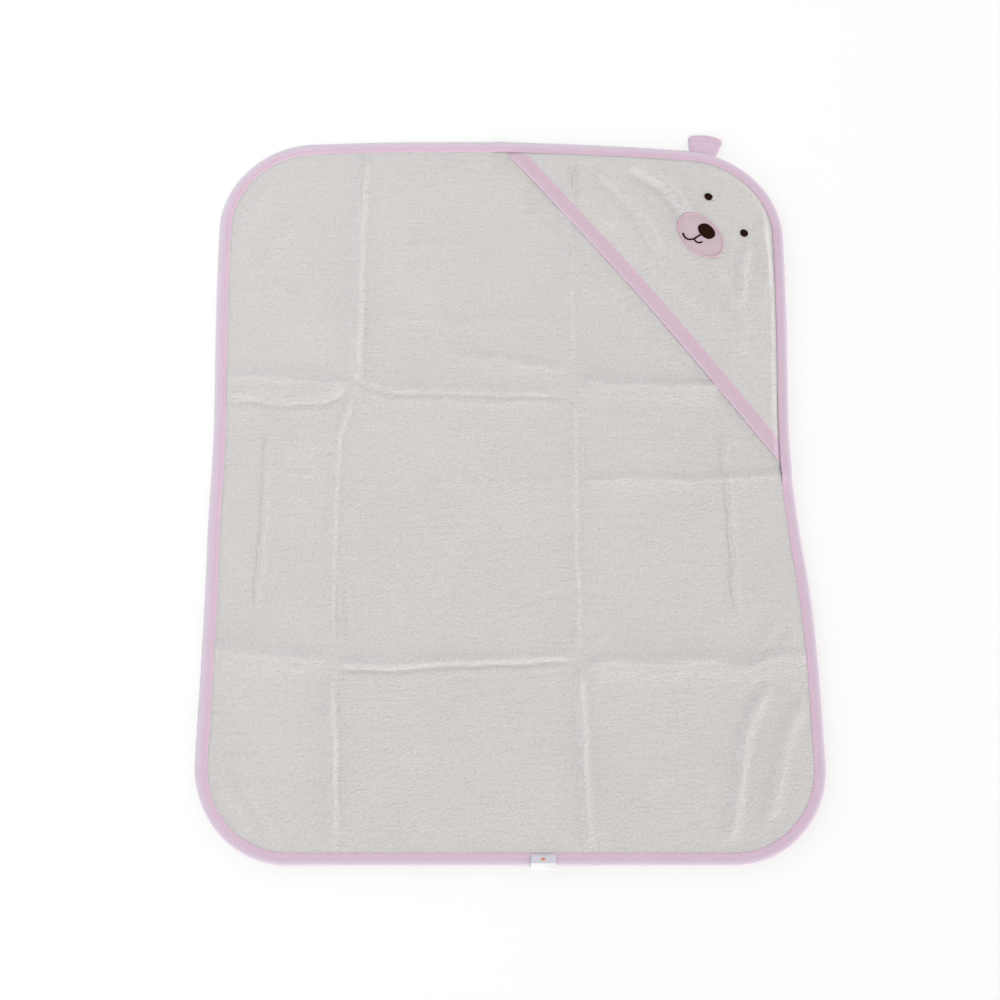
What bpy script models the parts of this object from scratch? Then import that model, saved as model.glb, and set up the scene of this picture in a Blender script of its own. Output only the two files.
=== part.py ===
"""Hooded baby towel: a terry sheet with a bear hood, bound edges, one ear and a label.

Metres, +Z up. The towel lies face up on z = 0 with its hood end towards +Y. The origin is the
middle of the sheet, on its underside.

Every outline is drawn in cut coordinates, as the pieces are cut from flat cloth, and laid() then
moves each point to where the cloth really lies: a little drawn in beside the hood's lower end.
The hood's pieces are also raised by arch(), which lifts the hood off the towel in between its
two sewn legs.
"""

import math

import bmesh
import bpy
from mathutils import Vector

# The cut sheet.
WIDTH = 0.804
LENGTH = 1.0
TOP_RADIUS = 0.128
BOTTOM_RADIUS = 0.123
TOWEL_THICKNESS = 0.003

# How the cloth lies: drawn in beside the hood, leaning sideways, its top edge slightly bowed.
DRAWN_IN = 0.0094
DRAWN_IN_Y = 0.038
DRAWN_IN_SPREAD = 0.174
LEAN = 0.0058
LEAN_Y = -0.111
LEAN_SPREAD = 0.09
LEAN_SHIFT = 0.0025
TOP_BOW = 0.0185
TOP_BOW_X = -0.086
TOP_BOW_RISE = 0.0054

# The tape that binds the edge of the cloth: two layers joined by a fold.
EDGE_TAPE_WIDTH = 0.0155
HOOD_TAPE_WIDTH = 0.0220
TAPE_THICKNESS = 0.0006
RIM_THICKNESS = 0.0008
CLEARANCE = 0.0003

# Sewing thread, laid in rows along the tape at these shares of its width from the fold.
THREAD_WIDTH = 0.0006
THREAD_HEIGHT = 0.0003
OUTER_ROW = 0.55
INNER_ROW = 0.84

# The hood: a triangle of cloth over the top right corner.
HOOD_TOP_LEG = 0.411
HOOD_SIDE_LEG = 0.494
HOOD_THICKNESS = 0.003
MOUTH_BOW = 0.0055
HOOD_ARCH = 0.006

# The face on the hood. Places are distances from the sheet's right side and from its top edge.
EYE_DIAMETER = 0.0115
LEFT_EYE = (0.1051, 0.0743)
RIGHT_EYE = (0.0568, 0.1289)
MUZZLE_CENTRE = (0.1189, 0.1374)
MUZZLE_LENGTH = 0.077
MUZZLE_WIDTH = 0.054
MUZZLE_BORDER_WIDTH = 0.0022
NOSE_CENTRE = (0.1105, 0.1306)
NOSE_LENGTH = 0.0262
NOSE_WIDTH = 0.0216
NOSE_SQUARENESS = 2.3

# The smile's strokes, from the nose's centre: across the face and up it.
SMILE_WIDTH = 0.0024
SMILE_STEM = ((-0.0010, -0.0113), (-0.0022, -0.0225))
SMILE_LEFT_END = (-0.0185, -0.0285)
SMILE_LEFT_SAG = 0.0052
SMILE_RIGHT_END = (0.0085, -0.0160)
SMILE_RIGHT_SAG = 0.0036
PATCH_THICKNESS = 0.0006
STITCH_THICKNESS = 0.0008

# The ear, standing out of the top right corner's arc: two plies sewn together at their sides.
EAR_BEARING = 81.6
EAR_ROOT_WIDTH = 0.0380
EAR_TIP_WIDTH = 0.0470
EAR_HEIGHT = 0.0260
EAR_CORNER_RADIUS = 0.0080
EAR_TIP_BOW = 0.0020
EAR_PLY = 0.0008
EAR_LIFT = 0.0005
EAR_STITCH_INSET = 0.0018

# The label, folded in half and sewn to the bottom edge's tape.
LABEL_X = 0.0400
LABEL_WIDTH = 0.0310
LABEL_LENGTH = 0.0176
LABEL_PLY = 0.0004
LABEL_ROOT_MARGIN = 0.0025
LABEL_STITCH_WIDTH = 0.0010
LABEL_MARK_LENGTH = 0.0060
LABEL_MARK_WIDTH = 0.0030
LABEL_MARK_PLACE = 0.0050

# Heights, from the surface that the towel lies on.
TAPE_BOTTOM = THREAD_HEIGHT + 2 * CLEARANCE
RIM_BOTTOM = TAPE_BOTTOM + TAPE_THICKNESS + CLEARANCE
RIM_TOP = RIM_BOTTOM + RIM_THICKNESS
TAPE_TOP = RIM_TOP + CLEARANCE + TAPE_THICKNESS
HOOD_BOTTOM = TOWEL_THICKNESS + CLEARANCE
HOOD_TOP = HOOD_BOTTOM + HOOD_THICKNESS
HOOD_TAPE_BOTTOM = HOOD_BOTTOM + THREAD_HEIGHT + CLEARANCE
HOOD_RIM_BOTTOM = HOOD_TAPE_BOTTOM + TAPE_THICKNESS + CLEARANCE
HOOD_RIM_TOP = HOOD_RIM_BOTTOM + RIM_THICKNESS
HOOD_TAPE_TOP = HOOD_RIM_TOP + CLEARANCE + TAPE_THICKNESS
LABEL_BOTTOM = TAPE_TOP + THREAD_HEIGHT + 2 * CLEARANCE
LABEL_TOP = LABEL_BOTTOM + 2 * LABEL_PLY + CLEARANCE
MARK_TOP = LABEL_TOP + CLEARANCE + LABEL_PLY
EAR_FRONT_BOTTOM = EAR_LIFT + EAR_PLY + CLEARANCE
EAR_THREAD_BOTTOM = EAR_FRONT_BOTTOM + EAR_PLY + CLEARANCE
EAR_TOP = EAR_THREAD_BOTTOM + THREAD_HEIGHT

# Colours, and the finish that all of the cloth shares.
TERRY = (0.72, 0.69, 0.66)
PINK = (0.76, 0.55, 0.63)
PALE_PINK = (0.70, 0.52, 0.59)
DARK_BROWN = (0.035, 0.018, 0.012)
SATIN_WHITE = (0.75, 0.74, 0.74)
ORANGE = (0.80, 0.30, 0.17)
CLOTH_ROUGHNESS = 0.9
SHARP_ANGLE = 40

# How finely the outlines are divided.
CORNER_STEPS = 12
SIDE_STEPS = 9
MOUTH_STEPS = 20
HOOD_ROWS = 5
OVAL_STEPS = 40
EYE_STEPS = 20
LOBE_STEPS = 8
EAR_STEPS = 6
HALVINGS = 40

HALF_WIDTH = WIDTH / 2
HALF_LENGTH = LENGTH / 2


# ---------------------------------------------------------------- where the cloth lies


def laid(x, y):
    """Where a point of the cut sheet lies on the ground."""
    drawn = DRAWN_IN / HALF_WIDTH * math.exp(-(((y - DRAWN_IN_Y) / DRAWN_IN_SPREAD) ** 2))
    lean = LEAN_SHIFT - LEAN * math.tanh((y - LEAN_Y) / LEAN_SPREAD)
    share = max(0.0, (y + HALF_LENGTH) / LENGTH) ** 2
    bow = TOP_BOW_RISE - TOP_BOW * ((x - TOP_BOW_X) / HALF_WIDTH) ** 2
    return x * (1 - drawn) + lean, y + bow * share


def arch(x, y):
    """How far the hood stands off the towel: nothing along its two legs, most at its mouth."""
    across = max(0.0, HALF_WIDTH - x) / HOOD_TOP_LEG
    down = max(0.0, HALF_LENGTH - y) / HOOD_SIDE_LEG
    return 4 * HOOD_ARCH * across * down


def on_towel(points, height):
    return [Vector((*laid(x, y), height)) for x, y in points]


def on_hood(points, height):
    return [Vector((*laid(x, y), height + arch(x, y))) for x, y in points]


# ---------------------------------------------------------------- outlines, in cut coordinates


def direction(degrees):
    return Vector((math.cos(math.radians(degrees)), math.sin(math.radians(degrees))))


def sheet_outline(inset):
    """The sheet's outline, moved inwards: anticlockwise, from the right end of the top right corner."""
    corners = (
        (1, 1, TOP_RADIUS, 0),
        (-1, 1, TOP_RADIUS, 90),
        (-1, -1, BOTTOM_RADIUS, 180),
        (1, -1, BOTTOM_RADIUS, 270),
    )
    arcs = []
    for side, end, radius, start in corners:
        centre = Vector((side * (HALF_WIDTH - radius), end * (HALF_LENGTH - radius)))
        arcs.append([centre + (radius - inset) * direction(start + 90 * k / CORNER_STEPS)
                     for k in range(CORNER_STEPS + 1)])
    points = []
    for arc, following in zip(arcs, arcs[1:] + arcs[:1]):
        points += arc
        points += [arc[-1].lerp(following[0], k / SIDE_STEPS) for k in range(1, SIDE_STEPS)]
    return points


def mouth_point(share, inset):
    """A point of the hood's mouth: share 0 at the top edge and 1 at the side, inset towards the corner."""
    top = Vector((HALF_WIDTH - HOOD_TOP_LEG, HALF_LENGTH))
    side = Vector((HALF_WIDTH, HALF_LENGTH - HOOD_SIDE_LEG))
    along = (side - top).normalized()
    inwards = Vector((-along.y, along.x))
    return top.lerp(side, share) + inwards * (inset + 4 * MOUTH_BOW * share * (1 - share))


def share_where(crossed, start, end):
    """The share between start and end at which the mouth crosses into the tape, found by halving."""
    for _ in range(HALVINGS):
        middle = (start + end) / 2
        if crossed(middle):
            start = middle
        else:
            end = middle
    return (start + end) / 2


def mouth_line(inset, edge_inset):
    """The mouth's line at an inset, between the sheet's top and right edges at their own inset."""
    first = share_where(lambda s: mouth_point(s, inset).y > HALF_LENGTH - edge_inset, 0.0, 0.5)
    last = share_where(lambda s: mouth_point(s, inset).x > HALF_WIDTH - edge_inset, 1.0, 0.5)
    return [mouth_point(first + (last - first) * k / MOUTH_STEPS, inset) for k in range(MOUTH_STEPS + 1)]


def hood_grid(inset, edge_inset):
    """Rows of points from the mouth's line to the rounded corner, as a Coons patch."""
    near = mouth_line(inset, edge_inset)
    centre = Vector((HALF_WIDTH - TOP_RADIUS, HALF_LENGTH - TOP_RADIUS))
    far = [centre + (TOP_RADIUS - edge_inset) * direction(90 - 90 * k / MOUTH_STEPS)
           for k in range(MOUTH_STEPS + 1)]
    rows = []
    for row in range(HOOD_ROWS + 1):
        up = row / HOOD_ROWS
        left = near[0].lerp(far[0], up)
        right = near[-1].lerp(far[-1], up)
        points = []
        for k in range(MOUTH_STEPS + 1):
            along = k / MOUTH_STEPS
            corners = near[0].lerp(near[-1], along).lerp(far[0].lerp(far[-1], along), up)
            points.append(near[k].lerp(far[k], up) + left.lerp(right, along) - corners)
        rows.append(points)
    return rows


def from_corner(place):
    """The point at these distances from the sheet's right side and from its top edge."""
    return Vector((HALF_WIDTH - place[0], HALF_LENGTH - place[1]))


def on_face(place, points):
    """Points of the face's own plane, whose X runs from the left eye to the right one."""
    across = (from_corner(RIGHT_EYE) - from_corner(LEFT_EYE)).normalized()
    up = Vector((-across.y, across.x))
    return [from_corner(place) + across * x + up * y for x, y in points]


def oval(length, width, steps, squareness=2.0):
    """An oval whose corners fill out as its squareness grows past 2, a plain ellipse."""
    points = []
    for k in range(steps):
        ray = direction(360 * k / steps)
        points.append((
            length / 2 * math.copysign(abs(ray.x) ** (2 / squareness), ray.x),
            width / 2 * math.copysign(abs(ray.y) ** (2 / squareness), ray.y),
        ))
    return points


# ---------------------------------------------------------------- solids


def cloth_material(name, colour):
    made = bpy.data.materials.new(name)
    made.use_nodes = True
    shader = made.node_tree.nodes["Principled BSDF"]
    shader.inputs["Base Color"].default_value = (*colour, 1.0)
    shader.inputs["Roughness"].default_value = CLOTH_ROUGHNESS
    shader.inputs["Metallic"].default_value = 0.0
    return made


def solid(name, points, faces, colour):
    """One closed body with its faces pointing out, shaded smooth apart from its sharp edges."""
    mesh = bpy.data.meshes.new(name)
    work = bmesh.new()
    corners = [work.verts.new(point) for point in points]
    for face in faces:
        work.faces.new([corners[index] for index in face])
    bmesh.ops.recalc_face_normals(work, faces=work.faces)
    work.to_mesh(mesh)
    work.free()
    mesh.shade_smooth()
    mesh.set_sharp_from_angle(angle=math.radians(SHARP_ANGLE))
    mesh.materials.append(cloth_material(name, colour))
    made = bpy.data.objects.new(name, mesh)
    bpy.context.collection.objects.link(made)
    return made


def strips(count, first, second, closed):
    """The four-sided faces between two runs of points, each given by the index of its first point."""
    faces = []
    for k in range(count if closed else count - 1):
        after = (k + 1) % count
        faces.append((first + k, first + after, second + after, second + k))
    return faces


def swept(name, lines, colour, ring):
    """A closed section whose corners each follow their own line: a ring, or a run with flat ends."""
    count = len(lines[0])
    points = [point for line in lines for point in line]
    faces = []
    for k in range(len(lines)):
        faces += strips(count, k * count, (k + 1) % len(lines) * count, ring)
    if not ring:
        faces.append([k * count for k in range(len(lines))])
        faces.append([k * count + count - 1 for k in range(len(lines))])
    return solid(name, points, faces, colour)


def stacked(name, loops, colour):
    """Closed loops on top of each other, the first and the last filled."""
    count = len(loops[0])
    points = [point for loop in loops for point in loop]
    faces = [list(range(count)), list(range(len(points) - count, len(points)))]
    for k in range(len(loops) - 1):
        faces += strips(count, k * count, (k + 1) * count, True)
    return solid(name, points, faces, colour)


def tape_section(width, bottom, top):
    """The folded tape's section: (distance from the fold, height), open towards the cloth."""
    return (
        (0.0, bottom),
        (0.0, top),
        (width, top),
        (width, top - TAPE_THICKNESS),
        (TAPE_THICKNESS, top - TAPE_THICKNESS),
        (TAPE_THICKNESS, bottom + TAPE_THICKNESS),
        (width, bottom + TAPE_THICKNESS),
        (width, bottom),
    )


def thread_section(place, bottom):
    """A sewing thread's section, at a distance from the tape's fold."""
    return (
        (place - THREAD_WIDTH / 2, bottom),
        (place - THREAD_WIDTH / 2, bottom + THREAD_HEIGHT),
        (place + THREAD_WIDTH / 2, bottom + THREAD_HEIGHT),
        (place + THREAD_WIDTH / 2, bottom),
    )


def on_edge(name, section, colour):
    """A section swept around the whole edge of the towel."""
    return swept(name, [on_towel(sheet_outline(inset), height) for inset, height in section], colour, True)


def on_mouth(name, section, colour):
    """A section swept along the hood's mouth, between the two stretches of the edge's tape."""
    ends = EDGE_TAPE_WIDTH + CLEARANCE
    return swept(name, [on_hood(mouth_line(inset, ends), height) for inset, height in section], colour, False)


# ---------------------------------------------------------------- pieces


def towel_panel():
    """The terry sheet, pressed thin where the tape grips its rim."""
    body = EDGE_TAPE_WIDTH + CLEARANCE
    rim = TAPE_THICKNESS + CLEARANCE
    section = (
        (body, 0.0),
        (body, RIM_BOTTOM),
        (rim, RIM_BOTTOM),
        (rim, RIM_TOP),
        (body, RIM_TOP),
        (body, TOWEL_THICKNESS),
    )
    loops = [on_towel(sheet_outline(inset), height) for inset, height in section]
    return stacked("towel_panel", loops, TERRY)


def edge_pieces():
    """The tape around the whole edge and its three threads."""
    on_edge("edge_binding", tape_section(EDGE_TAPE_WIDTH, TAPE_BOTTOM, TAPE_TOP), PINK)
    outer = OUTER_ROW * EDGE_TAPE_WIDTH
    inner = INNER_ROW * EDGE_TAPE_WIDTH
    above = TAPE_TOP + CLEARANCE
    below = TAPE_BOTTOM - CLEARANCE - THREAD_HEIGHT
    on_edge("edge_stitch_outer", thread_section(outer, above), PINK)
    on_edge("edge_stitch_inner", thread_section(inner, above), PINK)
    on_edge("edge_stitch_looper", thread_section((outer + inner) / 2, below), PINK)


def hood_panel():
    """The hood's triangle, pressed thin where its mouth's tape grips it."""
    ends = EDGE_TAPE_WIDTH + CLEARANCE
    body = HOOD_TAPE_WIDTH + CLEARANCE
    rim = TAPE_THICKNESS + CLEARANCE
    rows = hood_grid(body, ends)
    lines = [
        on_hood(rows[0], HOOD_RIM_BOTTOM),
        on_hood(mouth_line(rim, ends), HOOD_RIM_BOTTOM),
        on_hood(mouth_line(rim, ends), HOOD_RIM_TOP),
        on_hood(rows[0], HOOD_RIM_TOP),
    ]
    lines += [on_hood(row, HOOD_TOP) for row in rows]
    lines += [on_hood(row, HOOD_BOTTOM) for row in reversed(rows)]
    return swept("hood_panel", lines, TERRY, False)


def hood_mouth_pieces():
    """The tape along the hood's mouth and its three threads."""
    outer = OUTER_ROW * HOOD_TAPE_WIDTH
    inner = INNER_ROW * HOOD_TAPE_WIDTH
    above = HOOD_TAPE_TOP + CLEARANCE
    below = HOOD_TAPE_BOTTOM - CLEARANCE - THREAD_HEIGHT
    return [
        on_mouth("hood_binding", tape_section(HOOD_TAPE_WIDTH, HOOD_TAPE_BOTTOM, HOOD_TAPE_TOP), PINK),
        on_mouth("hood_stitch_outer", thread_section(outer, above), PINK),
        on_mouth("hood_stitch_inner", thread_section(inner, above), PINK),
        on_mouth("hood_stitch_looper", thread_section((outer + inner) / 2, below), PINK),
    ]


def patch(name, centre, outline, bottom, thickness, colour):
    """A flat patch on the hood, following its arch."""
    points = on_face(centre, outline)
    return stacked(name, [on_hood(points, bottom), on_hood(points, bottom + thickness)], colour)


def ring_section(name, centre, outer, inner, bottom, thickness, colour):
    """A flat ring on the hood, between two outlines of the same number of points."""
    outside = on_face(centre, outer)
    inside = on_face(centre, inner)
    top = bottom + thickness
    lines = [on_hood(outside, bottom), on_hood(outside, top), on_hood(inside, top), on_hood(inside, bottom)]
    return swept(name, lines, colour, True)


def bowed_line(start, end, sag, steps):
    """Points and unit normals along a shallow arc; the normals point away from its centre."""
    along = (end - start).normalized()
    outwards = Vector((along.y, -along.x)) * math.copysign(1.0, sag)
    points = []
    for k in range(steps + 1):
        share = k / steps
        slope = 4 * abs(sag) * (1 - 2 * share) / (end - start).length
        place = start.lerp(end, share) + outwards * (4 * abs(sag) * share * (1 - share))
        points.append((place, (outwards - along * slope).normalized()))
    return points


def smile_outline():
    """The mouth's outline, walked once around: the stem, the left lobe, then the right one."""
    half = SMILE_WIDTH / 2
    top, fork = (Vector(place) for place in SMILE_STEM)
    down = (fork - top).normalized()
    aside = Vector((down.y, -down.x)) * half
    left = bowed_line(fork, Vector(SMILE_LEFT_END), -SMILE_LEFT_SAG, LOBE_STEPS)
    right = bowed_line(fork, Vector(SMILE_RIGHT_END), SMILE_RIGHT_SAG, LOBE_STEPS)
    below = [place + normal * half for place, normal in right]
    above = [place - normal * half for place, normal in right]
    points = [top + aside]
    points += [place - normal * half for place, normal in left]
    points += [place + normal * half for place, normal in reversed(left[2:])]
    points += [place for place in below if place.x > fork.x + SMILE_WIDTH]
    points += [place for place in reversed(above) if place.x > fork.x + SMILE_WIDTH]
    points.append(top - aside)
    return points


def face_pieces():
    """The muzzle's patch and border, and the embroidered nose, mouth and eyes."""
    patch_bottom = HOOD_TOP + CLEARANCE
    raised_bottom = patch_bottom + PATCH_THICKNESS + CLEARANCE
    outer = oval(MUZZLE_LENGTH, MUZZLE_WIDTH, OVAL_STEPS)
    shrink = 2 * MUZZLE_BORDER_WIDTH
    inner = oval(MUZZLE_LENGTH - shrink, MUZZLE_WIDTH - shrink, OVAL_STEPS)
    nose = oval(NOSE_LENGTH, NOSE_WIDTH, OVAL_STEPS, NOSE_SQUARENESS)
    eye = oval(EYE_DIAMETER, EYE_DIAMETER, EYE_STEPS)
    return [
        patch("muzzle_patch", MUZZLE_CENTRE, outer, patch_bottom, PATCH_THICKNESS, PALE_PINK),
        ring_section("muzzle_border", MUZZLE_CENTRE, outer, inner, raised_bottom, STITCH_THICKNESS, PINK),
        patch("nose_embroidery", NOSE_CENTRE, nose, raised_bottom, STITCH_THICKNESS, DARK_BROWN),
        patch("mouth_embroidery", NOSE_CENTRE, smile_outline(), raised_bottom, STITCH_THICKNESS, DARK_BROWN),
        patch("eye_left", LEFT_EYE, eye, patch_bottom, STITCH_THICKNESS, DARK_BROWN),
        patch("eye_right", RIGHT_EYE, eye, patch_bottom, STITCH_THICKNESS, DARK_BROWN),
    ]


def ear_axes():
    """The middle of the ear's root, just outside the edge, and its directions out and along."""
    out = direction(EAR_BEARING)
    corner = Vector((HALF_WIDTH - TOP_RADIUS, HALF_LENGTH - TOP_RADIUS))
    return corner + out * (TOP_RADIUS + CLEARANCE), out, Vector((out.y, -out.x))


def ear_outline(inset):
    """The ear from its root's left end, round its two rounded tips; the root itself stays put."""
    root, out, along = ear_axes()
    flare = (EAR_TIP_WIDTH - EAR_ROOT_WIDTH) / 2 / EAR_HEIGHT
    radius = EAR_CORNER_RADIUS - inset
    rise = EAR_HEIGHT - EAR_CORNER_RADIUS
    centre_across = EAR_ROOT_WIDTH / 2 + flare * rise - EAR_CORNER_RADIUS
    lean = math.degrees(math.atan(flare))
    tip = [Vector((centre_across, rise)) + radius * direction(-lean + (90 + lean) * k / EAR_STEPS)
           for k in range(EAR_STEPS + 1)]
    right = [Vector((EAR_ROOT_WIDTH / 2 - inset, 0.0))] + tip
    left = [Vector((-point.x, point.y)) for point in reversed(right)]
    crown = tip[-1].lerp(left[0], 0.5) + Vector((0.0, EAR_TIP_BOW))
    return [root + along * point.x + out * point.y for point in right + [crown] + left]


def ear_pieces():
    """The ear's two plies, and the thread sewn around its free sides."""
    outline = ear_outline(0.0)
    pieces = []
    for name, bottom in (("ear_back", EAR_LIFT), ("ear_front", EAR_FRONT_BOTTOM)):
        pieces.append(stacked(name, [on_towel(outline, bottom), on_towel(outline, bottom + EAR_PLY)], PINK))
    outer = ear_outline(EAR_STITCH_INSET)
    inner = ear_outline(EAR_STITCH_INSET + THREAD_WIDTH)
    lines = [
        on_towel(outer, EAR_THREAD_BOTTOM),
        on_towel(outer, EAR_TOP),
        on_towel(inner, EAR_TOP),
        on_towel(inner, EAR_THREAD_BOTTOM),
    ]
    pieces.append(swept("ear_stitch", lines, PINK, False))
    return pieces


def label_root():
    """The middle of the label's root, just inside the inner edge of the tape it is sewn to."""
    return Vector((LABEL_X, -HALF_LENGTH + EDGE_TAPE_WIDTH - LABEL_ROOT_MARGIN))


def label_pieces():
    """The folded label and its mark, and the row of stitches along its root."""
    root = label_root().y
    tip = root - LABEL_LENGTH
    section = (
        (root, LABEL_BOTTOM),
        (root, LABEL_BOTTOM + LABEL_PLY),
        (tip + LABEL_PLY, LABEL_BOTTOM + LABEL_PLY),
        (tip + LABEL_PLY, LABEL_TOP - LABEL_PLY),
        (root, LABEL_TOP - LABEL_PLY),
        (root, LABEL_TOP),
        (tip, LABEL_TOP),
        (tip, LABEL_BOTTOM),
    )
    ends = (LABEL_X - LABEL_WIDTH / 2, LABEL_X + LABEL_WIDTH / 2)
    lines = [on_towel([(x, y) for x in ends], height) for y, height in section]
    label = swept("woven_label", lines, SATIN_WHITE, False)
    centre = Vector((LABEL_X, root - LABEL_MARK_PLACE))
    outline = [centre + Vector(point) for point in oval(LABEL_MARK_LENGTH, LABEL_MARK_WIDTH, EYE_STEPS)]
    loops = [on_towel(outline, MARK_TOP - LABEL_PLY), on_towel(outline, MARK_TOP)]
    mark = stacked("label_mark", loops, ORANGE)
    near = root + CLEARANCE
    far = near + LABEL_STITCH_WIDTH
    box = ((near, LABEL_BOTTOM), (near, LABEL_TOP), (far, LABEL_TOP), (far, LABEL_BOTTOM))
    swept("label_stitch", [on_towel([(x, y) for x in ends], height) for y, height in box], SATIN_WHITE, False)
    return [label, mark]


# ---------------------------------------------------------------- hinges


def hinge(name, place, towards, height, pieces):
    """An empty on a hinge's axis, its X along it, so that a positive turn raises the far side."""
    here = Vector((*laid(*place), height))
    ahead = Vector((*laid(*(place + towards)), height))
    out = (ahead - here).normalized()
    axis = out.cross(Vector((0.0, 0.0, 1.0)))
    empty = bpy.data.objects.new(name, None)
    bpy.context.collection.objects.link(empty)
    empty.location = here
    empty.rotation_euler.z = math.atan2(axis.y, axis.x)
    bpy.context.view_layer.update()
    for piece in pieces:
        piece.parent = empty
        piece.matrix_parent_inverse = empty.matrix_world.inverted()


def hood_hinge_place():
    """Where the hood stays put, the tip of its rounded corner, and a step from there to its mouth."""
    mouth = mouth_point(1.0, 0.0) - mouth_point(0.0, 0.0)
    away = Vector((mouth.y, -mouth.x)).normalized()
    centre = Vector((HALF_WIDTH - TOP_RADIUS, HALF_LENGTH - TOP_RADIUS))
    return centre - away * (TOP_RADIUS - EDGE_TAPE_WIDTH - CLEARANCE), away * TOP_RADIUS


def main():
    for old in list(bpy.data.objects):
        bpy.data.objects.remove(old)
    towel_panel()
    edge_pieces()
    hood = [hood_panel()] + hood_mouth_pieces() + face_pieces()
    ear = ear_pieces()
    label = label_pieces()
    hinge("hood_hinge", *hood_hinge_place(), HOOD_BOTTOM, hood)
    root, out, _ = ear_axes()
    hinge("ear_hinge", root, out * EAR_HEIGHT, EAR_TOP, ear)
    hinge("label_hinge", label_root(), Vector((0.0, -LABEL_LENGTH)), MARK_TOP, label)


main()
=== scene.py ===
"""The looks of the hooded baby towel: terry, bound edges, embroidery, ear and label.

Metres, +Z up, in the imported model's frame: the towel lies face up on z = 0 with its hood end
towards +Y. Outlines are drawn in cut coordinates, as the pieces are cut from flat cloth, and
laid() moves each point to where the cloth really lies, as the model's own source does.
"""

import math

import bmesh
import bpy
import numpy as np
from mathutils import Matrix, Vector, noise


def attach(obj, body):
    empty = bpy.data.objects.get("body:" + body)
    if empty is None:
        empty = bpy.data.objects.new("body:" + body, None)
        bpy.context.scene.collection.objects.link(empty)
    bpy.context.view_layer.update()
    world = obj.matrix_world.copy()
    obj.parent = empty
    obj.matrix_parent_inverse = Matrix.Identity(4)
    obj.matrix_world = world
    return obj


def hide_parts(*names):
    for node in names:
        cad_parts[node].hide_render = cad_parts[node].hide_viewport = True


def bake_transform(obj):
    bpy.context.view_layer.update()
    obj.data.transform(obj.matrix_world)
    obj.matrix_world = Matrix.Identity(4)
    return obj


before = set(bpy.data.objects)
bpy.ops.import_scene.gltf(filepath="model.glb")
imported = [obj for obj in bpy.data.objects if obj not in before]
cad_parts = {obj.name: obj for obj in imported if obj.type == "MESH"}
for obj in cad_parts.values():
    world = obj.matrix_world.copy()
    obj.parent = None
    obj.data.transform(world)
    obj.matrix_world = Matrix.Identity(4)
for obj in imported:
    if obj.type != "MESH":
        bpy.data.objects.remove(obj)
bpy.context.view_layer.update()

MM = 0.001

# The cut sheet, and how it lies.
WIDTH = 0.804
LENGTH = 1.0
TOP_RADIUS = 0.128
BOTTOM_RADIUS = 0.123
TOWEL_THICKNESS = 0.003
DRAWN_IN = 0.0094
DRAWN_IN_Y = 0.038
DRAWN_IN_SPREAD = 0.174
LEAN = 0.0058
LEAN_Y = -0.111
LEAN_SPREAD = 0.09
LEAN_SHIFT = 0.0025
TOP_BOW = 0.0185
TOP_BOW_X = -0.086
TOP_BOW_RISE = 0.0054
HALF_WIDTH = WIDTH / 2
HALF_LENGTH = LENGTH / 2

# The tapes and their rows of thread, as shares of the tape's width from its fold.
EDGE_TAPE_WIDTH = 0.0155
HOOD_TAPE_WIDTH = 0.0220
OUTER_ROW = 0.55
INNER_ROW = 0.84

# The hood.
HOOD_TOP_LEG = 0.411
HOOD_SIDE_LEG = 0.494
MOUTH_BOW = 0.0055
HOOD_ARCH = 0.006

# The face. Places are distances from the sheet's right side and from its top edge.
EYE_DIAMETER = 0.0115
LEFT_EYE = (0.1051, 0.0743)
RIGHT_EYE = (0.0568, 0.1289)
MUZZLE_CENTRE = (0.1189, 0.1374)
MUZZLE_LENGTH = 0.077
MUZZLE_WIDTH = 0.054
MUZZLE_BORDER_WIDTH = 0.0022
NOSE_CENTRE = (0.1105, 0.1306)
NOSE_LENGTH = 0.0262
NOSE_WIDTH = 0.0216
NOSE_SQUARENESS = 2.3
SMILE_WIDTH = 0.0024
SMILE_STEM = ((-0.0010, -0.0095), (-0.0022, -0.0225))
SMILE_LEFT_END = (-0.0185, -0.0285)
SMILE_LEFT_SAG = 0.0052
SMILE_RIGHT_END = (0.0085, -0.0160)
SMILE_RIGHT_SAG = 0.0036

# The ear and the label.
EAR_BEARING = 81.6
EAR_ROOT_WIDTH = 0.0380
EAR_TIP_WIDTH = 0.0470
EAR_HEIGHT = 0.0260
EAR_CORNER_RADIUS = 0.0080
EAR_TIP_BOW = 0.0020
EAR_STITCH_INSET = 0.0018
LABEL_X = 0.0400
LABEL_WIDTH = 0.0310
LABEL_LENGTH = 0.0176
LABEL_ROOT_MARGIN = 0.0025
LABEL_MARK_LENGTH = 0.0060
LABEL_MARK_WIDTH = 0.0030
LABEL_MARK_PLACE = 0.0050

# Heights in the model, from the surface that the towel lies on.
RIM_BOTTOM = 0.0018
RIM_TOP = 0.0026
TAPE_BOTTOM = 0.0009
HOOD_BOTTOM = 0.0033
HOOD_TOP = 0.0063
HOOD_TAPE_BOTTOM = 0.0039
HOOD_RIM_BOTTOM = 0.0048
HOOD_RIM_TOP = 0.0056
PATCH_BOTTOM = 0.0066
RAISED_BOTTOM = 0.0075
LABEL_BOTTOM = 0.0044
LABEL_TOP = 0.0055

# Where the photograph was taken from.
CAMERA_PLACE = (-0.0057, -0.3749, 1.4594)
CAMERA_TILT = 13.317
CAMERA_LENS = 40.0
CAMERA_SENSOR = 36.0


# ---------------------------------------------------------------- where the cloth lies


def smooth(share):
    """0 below 0, 1 above 1, and an even bend in between."""
    share = np.clip(share, 0.0, 1.0)
    return share * share * (3 - 2 * share)


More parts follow.
